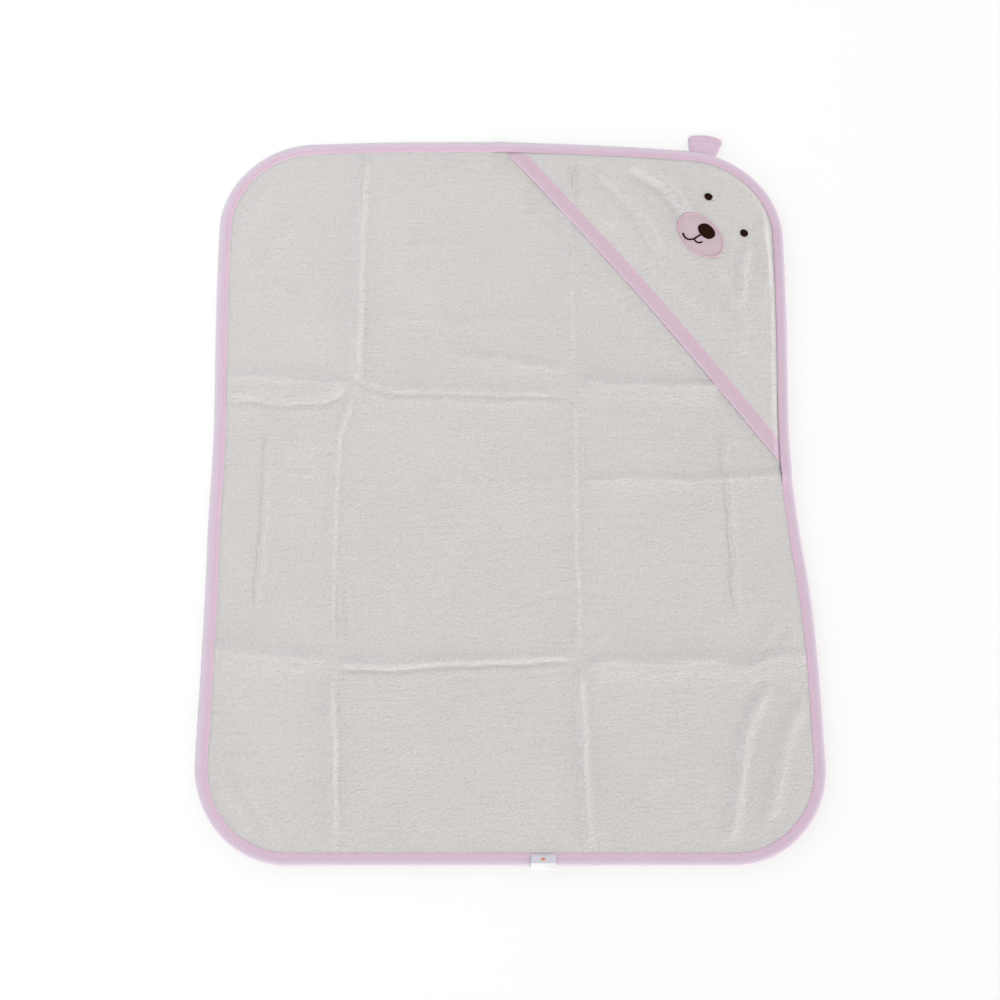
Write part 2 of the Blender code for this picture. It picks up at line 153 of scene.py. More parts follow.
def laid(places):
    """Where points of the cut sheet lie on the ground."""
    x, y = places[..., 0], places[..., 1]
    drawn = DRAWN_IN / HALF_WIDTH * np.exp(-(((y - DRAWN_IN_Y) / DRAWN_IN_SPREAD) ** 2))
    lean = LEAN_SHIFT - LEAN * np.tanh((y - LEAN_Y) / LEAN_SPREAD)
    share = np.maximum(0.0, (y + HALF_LENGTH) / LENGTH) ** 2
    bow = TOP_BOW_RISE - TOP_BOW * ((x - TOP_BOW_X) / HALF_WIDTH) ** 2
    return np.stack((x * (1 - drawn) + lean, y + bow * share), axis=-1)


def cut_from(ground):
    """The cut sheet's points that lie at these places on the ground."""
    found = ground.copy()
    for _ in range(4):
        found += ground - laid(found)
    return found


def inset_of(places):
    """How far inside the sheet's edge each cut point is."""
    radius = np.where(places[..., 1] > 0, TOP_RADIUS, BOTTOM_RADIUS)
    across = np.abs(places[..., 0]) - (HALF_WIDTH - radius)
    along = np.abs(places[..., 1]) - (HALF_LENGTH - radius)
    outside = np.hypot(np.maximum(across, 0), np.maximum(along, 0))
    return radius - outside - np.minimum(np.maximum(across, along), 0)


def mouth_axes():
    """The ends of the hood's mouth, and its directions along and towards the corner."""
    top = np.array((HALF_WIDTH - HOOD_TOP_LEG, HALF_LENGTH))
    side = np.array((HALF_WIDTH, HALF_LENGTH - HOOD_SIDE_LEG))
    along = (side - top) / np.linalg.norm(side - top)
    return top, side, along, np.array((-along[1], along[0]))


def mouth_inset(places):
    """How far each cut point is from the mouth's line, towards the hood's corner."""
    top, side, along, inwards = mouth_axes()
    share = np.clip((places - top) @ along / np.linalg.norm(side - top), 0, 1)
    return (places - top) @ inwards - 4 * MOUTH_BOW * share * (1 - share)


# Creases and soft folds in millimetres, as (line on the ground, profile). A profile is a sum of
# soft ridges: (distance to the left of the line's direction, width, height).
LEDGE = ((-6, 6, 3.0), (-17, 12, 2.2), (3, 3, -0.5))
SMALL_LEDGE = ((-5, 5, 1.9), (-13, 9, 1.0), (2, 2.6, -0.5))
CREASES = (
    # The two long creases from the hood end to the label end: ridges with a narrow valley beside them.
    (((-201, 490), (-203.5, 300), (-205, 135)), ((-1, 6, 3.2), (-9, 7, 0.9), (4, 3, -0.6))),
    (((-196.5, 290), (-195, 135)), ((-4, 4, 0.5), (0, 2.4, -0.7))),
    (((-208, 120), (-224, 50), (-226, -80), (-226, -225)), ((-3, 5, 2.1), (3, 3, -0.6))),
    (((-215, -130), (-208, -225)), ((-4, 3.5, 0.5), (0, 2.6, -0.8), (5, 4, 0.7))),
    (((-224, -262), (-217, -370), (-213, -486)), ((-3, 6, 3.0), (4, 3, -0.7))),
    (((96, 480), (94, 300), (94, 160)), ((-1, 5, 1.7), (4, 3, -0.5))),
    (((96, 120), (95, -60), (97, -235)), ((-1, 5, 1.8), (4, 3, -0.5))),
    (((96, -250), (99, -370), (104, -486)), ((1, 6, 3.4), (-5, 4, -0.8))),
    # The upper creases across it.
    (((-390, 148), (-340, 152), (-280, 147), (-215, 140)), LEDGE),
    (((-388, 102), (-345, 107), (-300, 101), (-245, 104), (-215, 120)),
     ((14, 10, 1.6), (0, 2.8, -1.2), (-6, 5, 0.5))),
    (((-386, 182), (-330, 178), (-290, 184)), ((4, 6, 0.9), (-2, 3, -0.4))),
    (((-215, 148), (-190, 128), (-150, 118), (-20, 115), (90, 114)),
     ((9, 8, 1.6), (0, 3.0, -1.0), (-7, 6, 1.2))),
    (((-70, 184), (20, 173), (88, 162)), SMALL_LEDGE),
    (((102, 146), (150, 140), (220, 138), (305, 136)), LEDGE),
    # The middle ones, which are weak.
    (((-386, 12), (-230, -4)), ((4, 5, 0.8), (0, 2.6, -0.5))),
    (((-210, -16), (-60, -12), (90, -10)), ((4, 5, 0.5), (0, 2.6, -0.3))),
    (((101, 2), (170, 4), (250, 2), (390, 10)), SMALL_LEDGE),
    # The lower ones.
    (((-390, -220), (-340, -229), (-290, -231), (-230, -238)), LEDGE),
    (((-225, -257), (-150, -258), (-60, -252), (92, -248)), ((8, 6, 2.6), (0, 2.8, -1.1), (-7, 5, 0.5))),
    (((100, -250), (134, -239), (223, -240), (276, -236), (316, -248), (354, -233), (400, -236)), LEDGE),
    # Short pressed pleats near the two sides.
    (((-326, 75), (-327, -60), (-330, -175)), ((0, 2.4, -1.7), (5, 5, 1.5))),
    (((292, 75), (297, 0), (302, -190)), ((0, 2.4, -1.8), (5, 5, 1.6))),
    # Soft folds that run into the two bottom corners and the top left one.
    (((362, -187), (355, -216), (320, -253)), ((-5, 6, 1.6),)),
    (((340, -265), (313, -308), (302, -340), (293, -387), (274, -475)), ((8, 8, 3.6), (-3, 5, -0.8))),
    (((380, -290), (352, -340), (346, -371), (334, -410), (320, -450)), ((8, 8, 3.2), (-3, 5, -0.7))),
    (((390, -200), (355, -240)), ((0, 8, 1.5),)),
    (((-385, -335), (-358, -400), (-318, -470)), ((0, 8, 2.0), (10, 6, -0.5))),
    (((-350, -350), (-286, -478)), ((0, 7, 1.5),)),
    (((-325, 452), (-360, 395), (-378, 320)), ((0, 9, 1.6),)),
    (((-290, 400), (-330, 330), (-370, 290)), ((0, 9, 1.2),)),
    (((-386, 262), (-330, 275), (-260, 262)), ((0, 7, 1.0),)),
    # A small wrinkle under the top edge's tape, and a few in the open cloth.
    (((-105, 478), (-65, 464), (-20, 468)), ((4, 4, 1.8), (0, 2.4, -1.3))),
    (((-150, 345), (-20, 340)), ((0, 9, 0.7),)),
    (((-180, 235), (-40, 225), (80, 232)), ((0, 7, 0.9),)),
    (((30, 400), (90, 330), (150, 250)), ((0, 9, 1.1),)),
)
HOOD_FOLDS = (
    (((175, 470), (233, 438), (264, 380)), ((0, 8, 2.6), (-12, 8, -1.2))),
    (((130, 470), (190, 400), (225, 320)), ((0, 8, 1.8), (-12, 8, -0.8))),
    (((345, 345), (330, 250)), ((0, 8, 1.9),)),
    (((368, 390), (375, 270)), ((0, 6, 2.0), (9, 6, -0.9))),
    (((90, 450), (160, 360)), ((0, 9, 1.4),)),
    (((215, 300), (290, 235), (340, 175)), ((0, 10, 1.5),)),
    (((98, 480), (100, 400)), ((0, 3.2, 1.1), (5, 3.2, -0.7))),
    (((290, 330), (340, 200)), ((0, 9, 1.1),)),
)
CREASE_FADE = 0.022
CREASE_WOBBLE = 0.0028
CREASE_WOBBLE_SCALE = 24.0
UNDULATION = 0.0006
UNDULATION_SCALE = 11.0
PILE_CLUMP = 0.00007
PILE_CLUMP_SCALE = 190.0
GRID_INSET = 0.0158
TAPE_HOLD = 0.012
UNDER_HOOD = 0.03

# How the hood lies: squeezed along its sewn legs, and drooping at its mouth on a swell of the towel.
LEG_TUCKED = 0.0150
LEG_FREE = 0.0250
LEG_RIM_BOTTOM = 0.00275
LEG_SQUEEZE = 0.38
LIP_DROOP = 0.0030
LIP_REACH = 0.055
LIP_BED = 0.0028
LIP_END_BED = 0.0003
LIP_BED_PLACE = 0.012
LIP_BED_REACH = 0.040
HOOD_FOLD_GAIN = 1.6


def noise_at(places, scale, seed):
    """Soft noise between about -1 and 1 at places on the ground."""
    return np.array([noise.noise(Vector((x * scale, y * scale, seed))) for x, y in places])


def crease_height(places, line, profile):
    """The height of one crease, in metres, at places on the ground."""
    nearest = np.full(len(places), np.inf)
    signed = np.zeros(len(places))
    along = np.zeros(len(places))
    begun = 0.0
    line = MM * np.array(line)
    for start, end in zip(line, line[1:]):
        run = end - start
        length = np.linalg.norm(run)
        share = np.clip((places - start) @ run / length**2, 0, 1)
        off = places - start - share[:, None] * run
        distance = np.linalg.norm(off, axis=1)
        closer = distance < nearest
        side = np.where(run[0] * off[:, 1] - run[1] * off[:, 0] >= 0, 1.0, -1.0)
        nearest = np.where(closer, distance, nearest)
        signed = np.where(closer, side * distance, signed)
        along = np.where(closer, begun + share * length, along)
        begun += length
    fade = smooth(np.minimum(along, begun - along) / CREASE_FADE)
    ridges = 0.0
    for offset, width, height in profile:
        ridges = ridges + height * np.exp(-(((signed / MM - offset) / width) ** 2))
    return fade * ridges * MM


def folds_height(places, folds):
    """The summed height of these creases, each wandering a little off its line."""
    wander = [noise_at(places, CREASE_WOBBLE_SCALE, seed) for seed in (3.1, 7.7)]
    moved = places + CREASE_WOBBLE * np.column_stack(wander)
    return sum(crease_height(moved, line, profile) for line, profile in folds)


def lip_bed(places):
    """The towel's own rise under the hood's mouth, which the hood's free edge rests against."""
    across = np.maximum(0.0, HALF_WIDTH - places[:, 0]) / HOOD_TOP_LEG
    down = np.maximum(0.0, HALF_LENGTH - places[:, 1]) / HOOD_SIDE_LEG
    near = np.exp(-(((mouth_inset(places) - LIP_BED_PLACE) / LIP_BED_REACH) ** 2))
    return (LIP_END_BED + LIP_BED * np.minimum(1.0, 4 * across * down)) * near


def towel_lift(ground):
    """How far the towel stands off its flat place: creases and slow undulation, flat under the hood."""
    places = cut_from(ground)
    swell = UNDULATION * (0.6 + noise_at(ground, UNDULATION_SCALE, 0.5))
    free = 1 - smooth(mouth_inset(places) / UNDER_HOOD)
    lift = (folds_height(ground, CREASES) + swell) * free + lip_bed(places)
    from_tape = smooth((inset_of(places) - GRID_INSET) / TAPE_HOLD)
    return np.where(lift < 0, lift * from_tape, lift)


def pile_clumps(ground):
    """The uneven pile of the terry, as small heights."""
    return PILE_CLUMP * noise_at(ground, PILE_CLUMP_SCALE, 1.7)


def on_towel(places, height):
    """Cut points, laid out and lifted, at these heights above the surface the towel lies on."""
    ground = laid(places)
    return np.column_stack((ground, height + towel_lift(ground)))


def on_hood(places, height):
    """Cut points on the hood: arched in the middle, squeezed under the edge's tape along its legs."""
    ground = laid(places)
    across = np.maximum(0.0, HALF_WIDTH - places[:, 0]) / HOOD_TOP_LEG
    down = np.maximum(0.0, HALF_LENGTH - places[:, 1]) / HOOD_SIDE_LEG
    arch = 4 * across * down * (HOOD_ARCH - LIP_DROOP * (1 - smooth(mouth_inset(places) / LIP_REACH)))
    free = smooth((inset_of(places) - LEG_TUCKED) / (LEG_FREE - LEG_TUCKED))
    folds = folds_height(ground, HOOD_FOLDS) + UNDULATION * (0.6 + noise_at(ground, UNDULATION_SCALE, 4.5))
    tucked = LEG_RIM_BOTTOM + (height - HOOD_BOTTOM) * LEG_SQUEEZE
    raised = height + arch + HOOD_FOLD_GAIN * folds
    return np.column_stack((ground, tucked + (raised - tucked) * free))


def hood_weights(piece):
    """Bakes a piece's placement into its mesh and finds the cut places of its points."""
    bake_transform(piece)
    points = np.array([vertex.co for vertex in piece.data.vertices])
    places = cut_from(points[:, :2])


# ---------------------------------------------------------------- outlines, in cut coordinates


def directions(degrees):
    radians = np.radians(degrees)
    return np.stack((np.cos(radians), np.sin(radians)), axis=-1)


def edge_parts():
    """The sheet's edge as arcs and straight sides, anticlockwise: (length, start, end, radius, degrees)."""
    corners = (
        (1, 1, TOP_RADIUS, 0),
        (-1, 1, TOP_RADIUS, 90),
        (-1, -1, BOTTOM_RADIUS, 180),
        (1, -1, BOTTOM_RADIUS, 270),
    )
    arcs = []
    for side, end, radius, start in corners:
        centre = np.array((side * (HALF_WIDTH - radius), end * (HALF_LENGTH - radius)))
        arcs.append((centre, radius, start))
    parts = []
    for (centre, radius, start), (next_centre, next_radius, next_start) in zip(arcs, arcs[1:] + arcs[:1]):
        parts.append((radius * math.pi / 2, centre, centre, radius, start))
        first = centre + radius * directions(start + 90)
        last = next_centre + next_radius * directions(next_start)
        parts.append((np.linalg.norm(last - first), first, last, 0.0, start + 90))
    return parts


EDGE_PARTS = edge_parts()
EDGE_LENGTH = sum(part[0] for part in EDGE_PARTS)


def edge_frame(distances):
    """Points on the sheet's edge at these distances round it, and its outward directions there."""
    distances = np.mod(distances, EDGE_LENGTH)
    points = np.zeros((len(distances), 2))
    outwards = np.zeros((len(distances), 2))
    begun = 0.0
    for length, start, end, radius, degrees in EDGE_PARTS:
        here = (distances >= begun) & (distances <= begun + length)
        share = (distances[here] - begun) / length
        turned = degrees + (90 * share if radius else 0 * share)
        outwards[here] = directions(turned)
        points[here] = start + (end - start) * share[:, None] + radius * outwards[here]
        begun += length
    return points, outwards


def mouth_point(share, inset):
    """A point of the hood's mouth: share 0 at the top edge and 1 at the side, inset towards the corner."""
    top, side, _, inwards = mouth_axes()
    return top + (side - top) * share + inwards * (inset + 4 * MOUTH_BOW * share * (1 - share))


def share_where(crossed, start, end):
    """The share between start and end at which the mouth crosses into the tape, found by halving."""
    for _ in range(40):
        middle = (start + end) / 2
        if crossed(middle):
            start = middle
        else:
            end = middle
    return (start + end) / 2


def mouth_line(inset, edge_inset, count):
    """The mouth's line at an inset, between the sheet's top and right edges at their own inset."""
    first = share_where(lambda s: mouth_point(s, inset)[1] > HALF_LENGTH - edge_inset, 0.0, 0.5)
    last = share_where(lambda s: mouth_point(s, inset)[0] > HALF_WIDTH - edge_inset, 1.0, 0.5)
    return np.array([mouth_point(share, inset) for share in np.linspace(first, last, count)])


def from_corner(place):
    return np.array((HALF_WIDTH - place[0], HALF_LENGTH - place[1]))


def on_face(place, points):
    """Points of the face's own plane, whose X runs from the left eye to the right one."""
    across = from_corner(RIGHT_EYE) - from_corner(LEFT_EYE)
    across = across / np.linalg.norm(across)
    up = np.array((-across[1], across[0]))
    points = np.asarray(points, float)
    return from_corner(place) + points[..., :1] * across + points[..., 1:] * up


def oval(length, width, steps, squareness=2.0):
    ray = directions(np.arange(steps) * 360 / steps)
    return np.sign(ray) * np.abs(ray) ** (2 / squareness) * np.array((length, width)) / 2


def graded(start, end, fine_places, fine_step, coarse_step, reach):
    """Places from start to end, closer together around the fine places."""
    places = [start]
    while places[-1] < end:
        near = min(abs(places[-1] - place) for place in fine_places)
        places.append(places[-1] + fine_step + (coarse_step - fine_step) * min(1.0, near / reach))
    places = np.array(places)
    return start + (places - start) * (end - start) / (places[-1] - start)


# ---------------------------------------------------------------- meshes


def piece_from(name, points, faces, material, attributes=None):
    """A smooth mesh with its faces pointing out, and one float or vector for each point where given."""
    mesh = bpy.data.meshes.new(name)
    mesh.from_pydata(np.asarray(points).tolist(), [], faces)
    work = bmesh.new()
    work.from_mesh(mesh)
    bmesh.ops.recalc_face_normals(work, faces=work.faces)
    work.to_mesh(mesh)
    work.free()
    mesh.shade_smooth()
    for key, values in (attributes or {}).items():
        values = np.asarray(values, np.float32)
        kind, field = ("FLOAT", "value") if values.ndim == 1 else ("FLOAT_VECTOR", "vector")
        mesh.attributes.new(key, kind, "POINT").data.foreach_set(field, values.ravel())
    mesh.materials.append(material)
    made = bpy.data.objects.new(name, mesh)
    bpy.context.collection.objects.link(made)
    return made


def grid_faces(rows, columns, first=0):
    """Four-sided faces of a grid of points stored row by row."""
    corner = (np.arange(rows - 1)[:, None] * columns + np.arange(columns - 1)).ravel() + first
    return np.column_stack((corner, corner + 1, corner + columns + 1, corner + columns)).tolist()


def grid_border(rows, columns, first=0):
    """The indices round a grid's border: the first row, the last column, and back."""
    bottom = np.arange(columns)
    right = np.arange(1, rows) * columns + columns - 1
    top = (rows - 1) * columns + np.arange(columns - 2, -1, -1)
    left = np.arange(rows - 2, 0, -1) * columns
    return first + np.concatenate((bottom, right, top, left))


def bridge(near, far):
    """Faces between two closed runs of indices of the same length."""
    after_near, after_far = np.roll(near, -1), np.roll(far, -1)
    return np.column_stack((near, after_near, after_far, far)).tolist()


def two_sided(name, top, bottom, rows, columns, material, rings=(), attributes=None):
    """A closed sheet: a top and a bottom grid of points, joined round their border through the rings."""
    count = rows * columns
    faces = grid_faces(rows, columns) + grid_faces(rows, columns, count)
    loops = [grid_border(rows, columns)]
    for k, ring in enumerate(rings):
        loops.append(2 * count + k * len(ring) + np.arange(len(ring)))
    loops.append(grid_border(rows, columns, count))
    for near, far in zip(loops, loops[1:]):
        faces += bridge(near, far)
    return piece_from(name, np.vstack((top, bottom, *rings)), faces, material, attributes)


def swept(name, lines, ring, material, attributes=None):
    """A closed section whose corners each follow their own line: a ring, or a run with flat ends."""
    sides, count = len(lines), len(lines[0])
    index = np.arange(sides * count).reshape(sides, count)
    ahead = np.roll(index, -1, axis=0)
    if ring:
        here, there = index, np.roll(index, -1, axis=1)
        above, beyond = ahead, np.roll(ahead, -1, axis=1)
    else:
        here, there = index[:, :-1], index[:, 1:]
        above, beyond = ahead[:, :-1], ahead[:, 1:]
    faces = np.stack((here, there, beyond, above), axis=-1).reshape(-1, 4).tolist()
    if not ring:
        faces += [index[:, 0].tolist(), index[:, -1].tolist()]
    return piece_from(name, np.vstack(lines), faces, material, attributes)


def threads(name, paths, radii, material, sides=6):
    """Many short threads: paths is (threads, points, 3), and radii holds one radius for each point."""
    count, steps, _ = paths.shape
    chord = paths[:, -1] - paths[:, 0]
    chord = chord / np.linalg.norm(chord, axis=1)[:, None]
    up = np.broadcast_to(np.array((0.0, 0.0, 1.0)), chord.shape)
    aside = np.cross(up, chord)
    aside = aside / np.linalg.norm(aside, axis=1)[:, None]
    up = np.cross(chord, aside)
    turn = directions(np.arange(sides) * 360 / sides)
    around = turn[:, 0, None] * aside[:, None, :] + turn[:, 1, None] * up[:, None, :]
    radii = np.broadcast_to(radii, (count, steps))
    points = paths[:, :, None, :] + radii[:, :, None, None] * around[:, None, :, :]
    index = np.arange(count * steps * sides).reshape(count, steps, sides)
    near, far = index[:, :-1], index[:, 1:]
    faces = np.stack((near, np.roll(near, -1, axis=2), np.roll(far, -1, axis=2), far), axis=-1)
    faces = faces.reshape(-1, 4).tolist() + index[:, 0].tolist() + index[:, -1].tolist()
    return piece_from(name, points.reshape(-1, 3), faces, material)


def stand_for(piece, node, body=None):
    """Hides the CAD node that a piece replaces and, where a body is given, attaches the piece to that body.
    """
    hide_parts(node)
    if body:
        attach(piece, body)
    return piece


# ---------------------------------------------------------------- materials


class Finish:
    """A cloth or thread material being built, with its bumps added one on top of the other."""

    def __init__(self, name, roughness, **sockets):
        self.material = bpy.data.materials.new(name)
        self.material.use_nodes = True
        self.tree = self.material.node_tree
        self.shader = self.tree.nodes["Principled BSDF"]
        self.shader.inputs["Roughness"].default_value = roughness
        for socket, value in sockets.items():
            self.shader.inputs[socket.replace("_", " ")].default_value = value
        self.place = self.node("ShaderNodeTexCoord").outputs["Object"]
        self.bump = None

    def node(self, kind, **settings):
        made = self.tree.nodes.new(kind)
        for key, value in settings.items():
            setattr(made, key, value)
        return made

    def link(self, source, target):
        self.tree.links.new(source, target)

    def attribute(self, name, output="Fac"):
        return self.node("ShaderNodeAttribute", attribute_name=name).outputs[output]

    def noise(self, scale, detail=2.0, where=None):
        made = self.node("ShaderNodeTexNoise")
        made.inputs["Scale"].default_value = scale
        made.inputs["Detail"].default_value = detail
        self.link(where or self.place, made.inputs["Vector"])
        return made.outputs["Fac"]

    def cells(self, scale, where=None):
        made = self.node("ShaderNodeTexVoronoi", feature="SMOOTH_F1")
        made.inputs["Scale"].default_value = scale
        self.link(where or self.place, made.inputs["Vector"])
        return made.outputs["Distance"]

    def scaled(self, vector, factors):
        made = self.node("ShaderNodeVectorMath", operation="MULTIPLY")
        self.link(vector, made.inputs[0])
        made.inputs[1].default_value = factors
        return made.outputs["Vector"]

    def ramp(self, source, stops):
        """Colours along a value, from (position, colour) stops."""
        made = self.node("ShaderNodeValToRGB")
        elements = made.color_ramp.elements
        while len(elements) < len(stops):
            elements.new(1.0)
        for element, (position, colour) in zip(elements, stops):
            element.position = position
            element.color = (*colour, 1.0)
        self.link(source, made.inputs["Fac"])
        return made.outputs["Color"]

    def mixed(self, blend, amount, first, second):
        made = self.node("ShaderNodeMix", data_type="RGBA", blend_type=blend)
        made.inputs[0].default_value = amount
        self.link(first, made.inputs[6])
        self.link(second, made.inputs[7])
        return made.outputs[2]

    def colour(self, source):
        self.link(source, self.shader.inputs["Base Color"])

    def raised(self, height, distance, strength=1.0):
        made = self.node("ShaderNodeBump")
        made.inputs["Distance"].default_value = distance
        made.inputs["Strength"].default_value = strength
        self.link(height, made.inputs["Height"])
        if self.bump:
            self.link(self.bump, made.inputs["Normal"])
        self.bump = made.outputs["Normal"]
        self.link(self.bump, self.shader.inputs["Normal"])


def around(colour, share):
    """The same colour, darker and lighter by this share."""
    return tuple(c * (1 - share) for c in colour), tuple(min(1.0, c * (1 + share)) for c in colour)


# How many clumps, loops, streaks, knit wales and weft lines there are in a metre, by direction.
CLUMPS = (250.0, 340.0, 300.0)
LOOPS = 560.0
STREAKS = (26.0, 150.0, 100.0)
TAPE_WALES = (900.0, 1400.0, 1.0)
KNIT_WALES = (1100.0, 900.0, 900.0)
WEFT_LINES = (300.0, 4200.0, 300.0)

TERRY = (0.610, 0.588, 0.580)
# TAPE_INNER is the same pink as TAPE_OUTER painted darker: painted shade over the edge tape's stitched
# half.
TAPE_OUTER = (0.648, 0.540, 0.638)
TAPE_INNER = (0.655, 0.485, 0.600)
HOOD_TAPE_OUTER = (0.600, 0.455, 0.545)
HOOD_TAPE_INNER = (0.630, 0.455, 0.550)
PINK_THREAD = (0.740, 0.560, 0.650)
MUZZLE = (0.560, 0.438, 0.495)
BORDER_THREAD = (0.660, 0.450, 0.520)
BROWN = (0.0235, 0.0105, 0.0065)
EAR_PINK = (0.640, 0.480, 0.590)
SATIN = (0.860, 0.860, 0.870)
SILVER = (0.590, 0.575, 0.650)
ORANGE = (0.800, 0.270, 0.150)


def terry_finish(name, colour):
    """Loop pile: fine loops gathered in clumps, painted a little darker between them as painted shade."""
    made = Finish(name, 0.95, Sheen_Weight=0.25, Sheen_Roughness=0.6, Specular_IOR_Level=0.15)
    clumps = made.noise(1.0, 3.0, made.scaled(made.place, CLUMPS))
    loops = made.cells(LOOPS)
    drift = made.noise(9.0, 2.0)
    # painted shade: the colour follows the clump heights that also raise the bumps, darker where the pile
    # dips between clumps
    shade = made.ramp(clumps, ((0.25, around(colour, 0.095)[0]), (0.75, around(colour, 0.065)[1])))
    wear = made.ramp(drift, ((0.3, (0.965, 0.965, 0.97)), (0.7, (1.0, 1.0, 1.0))))
    made.colour(made.mixed("MULTIPLY", 1.0, shade, wear))
    streaks = made.noise(1.0, 2.0, made.scaled(made.place, STREAKS))
    made.raised(streaks, 0.0030, 0.35)
    made.raised(clumps, 0.0018, 0.75)
    made.raised(loops, 0.0007, 0.65)
    return made.material


def tape_finish(name, outer, inner):
    """Jersey tape: fine knit wales along it, its colour running across it from the fold to the sewn edge;
    on the edge tape the sewn half is painted darker, as painted shade of its stitching and rounding.
    """
    made = Finish(name, 0.8, Sheen_Weight=0.3, Sheen_Roughness=0.5, Specular_IOR_Level=0.25)
    share = made.attribute("tape_share")
    # painted shade: the colour follows tape_share, so the edge tape is painted darker from its fold towards
    # its stitched half
    tone = made.ramp(share, ((0.0, outer), (0.15, outer), (0.75, inner), (1.0, inner)))
    mottle = made.ramp(made.noise(420.0, 2.0), ((0.3, (0.95, 0.95, 0.95)), (0.7, (1.0, 1.0, 1.0))))
    made.colour(made.mixed("MULTIPLY", 1.0, tone, mottle))
    knit = made.cells(1.0, made.scaled(made.attribute("tape_run", "Vector"), TAPE_WALES))
    made.raised(knit, 0.00022, 0.6)
    return made.material


def knit_finish(name, colour):
    """Plain smooth jersey, for the muzzle and the ear."""
    made = Finish(name, 0.75, Sheen_Weight=0.3, Sheen_Roughness=0.45, Specular_IOR_Level=0.3)
    low, high = around(colour, 0.03)
    made.colour(made.ramp(made.noise(60.0, 3.0), ((0.3, low), (0.7, high))))
    made.raised(made.cells(1.0, made.scaled(made.place, KNIT_WALES)), 0.0002, 0.5)
    return made.material


def thread_finish(name, colour, gloss=0.5, sheen=0.15, specular=0.35):
    """Sewing or embroidery thread: a soft lustre, a little uneven."""
    made = Finish(name, gloss, Sheen_Weight=sheen, Specular_IOR_Level=specular)
    low, high = around(colour, 0.10)
    made.colour(made.ramp(made.noise(700.0, 2.0), ((0.3, low), (0.7, high))))
    made.raised(made.noise(2600.0, 2.0), 0.0001, 0.5)
    return made.material


def satin_finish(name):
    """Woven label satin: silver near its root, white towards its fold, with fine weft lines."""
    made = Finish(name, 0.38, Sheen_Weight=0.2, Specular_IOR_Level=0.5, Anisotropic=0.4)
    stops = ((0.0, SILVER), (0.52, SILVER), (0.60, SATIN), (1.0, SATIN))
    tone = made.ramp(made.attribute("label_run"), stops)
    weft = made.noise(1.0, 1.0, made.scaled(made.place, WEFT_LINES))
    made.colour(tone)
    made.raised(weft, 0.00012, 0.6)
    return made.material


# ---------------------------------------------------------------- the towel


FINE_COLUMNS = (-0.332, -0.222, -0.205, 0.096, 0.298)
FINE_ROWS = (-0.258, -0.238, 0.000, 0.112, 0.148)
FINE_STEP = 0.0020
COARSE_STEP = 0.0056
FINE_REACH = 0.030
ARC_ROWS = 22

# The sheet's rim from its upper side into the tape's fold and back below: (inset, height).
TOWEL_RIM = (
    (0.0152, 0.00272),
    (0.0140, RIM_TOP),
    (0.0022, RIM_TOP),
    (0.0022, RIM_BOTTOM),
    (0.0140, RIM_BOTTOM),
    (0.0152, 0.0014),
)
TOP_PRESS = 0.0001
TOP_PRESS_REACH = 0.004
UNDER_PRESS = 0.0008
UNDER_PRESS_REACH = 0.002


def corner_rows(radius, inset, end):
    """The rows across one end's two corners, from its edge inwards, as (y, half the span)."""
    reach = radius - inset
    rows = []
    for turn in np.radians(np.linspace(90, 0, ARC_ROWS)):
        y = HALF_LENGTH - radius + reach * math.sin(turn)
        rows.append((end * y, HALF_WIDTH - radius + reach * math.cos(turn)))
    return rows


def sheet_rows(inset):
    """The sheet's rows from its bottom edge up, as (y, half the span) at an inset from its edge."""
    first, last = BOTTOM_RADIUS - HALF_LENGTH, HALF_LENGTH - TOP_RADIUS
    sides = graded(first, last, FINE_ROWS, FINE_STEP, COARSE_STEP, FINE_REACH)
    middle = [(y, HALF_WIDTH - inset) for y in sides[1:-1]]
    return corner_rows(BOTTOM_RADIUS, inset, -1) + middle + corner_rows(TOP_RADIUS, inset, 1)[::-1]


def edge_normals(places):
    """The outward directions of the sheet's edge beside these points of an inset outline."""
    radius = np.where(places[:, 1] > 0, TOP_RADIUS, BOTTOM_RADIUS)
    across = np.maximum(0, np.abs(places[:, 0]) - (HALF_WIDTH - radius)) * np.sign(places[:, 0])
    along = np.maximum(0, np.abs(places[:, 1]) - (HALF_LENGTH - radius)) * np.sign(places[:, 1])
    outward = np.column_stack((across, along))
    return outward / np.linalg.norm(outward, axis=1)[:, None]


def make_towel(terry):
    """The terry sheet, two sided and creased, its rim pressed thin inside the tape."""
    reach = HALF_WIDTH - GRID_INSET
    fine = [x / reach for x in FINE_COLUMNS]
    shares = graded(-1.0, 1.0, fine, FINE_STEP / reach, COARSE_STEP / reach, FINE_REACH / reach)
    grid = np.array([[(share * span, y) for share in shares] for y, span in sheet_rows(GRID_INSET)])
    rows, columns = grid.shape[:2]
    places = grid.reshape(-1, 2)
    ground = laid(places)
    lift = towel_lift(ground)
    clumps = pile_clumps(ground)
    past_rim = inset_of(places) - GRID_INSET
    pressed = TOP_PRESS * np.exp(-((past_rim / TOP_PRESS_REACH) ** 2))
    tucked = UNDER_PRESS * np.exp(-((past_rim / UNDER_PRESS_REACH) ** 2))
    top = np.column_stack((ground, TOWEL_THICKNESS + lift + clumps - pressed))
    bottom = np.column_stack((ground, np.maximum(0.0, lift + np.minimum(clumps, 0)) + tucked))
    edge = places[grid_border(rows, columns)]
    outward = edge_normals(edge)
    rings = [on_towel(edge + outward * (GRID_INSET - inset), height) for inset, height in TOWEL_RIM]
    return two_sided("towel_terry", top, bottom, rows, columns, terry, rings)


# ---------------------------------------------------------------- the tapes and their stitches


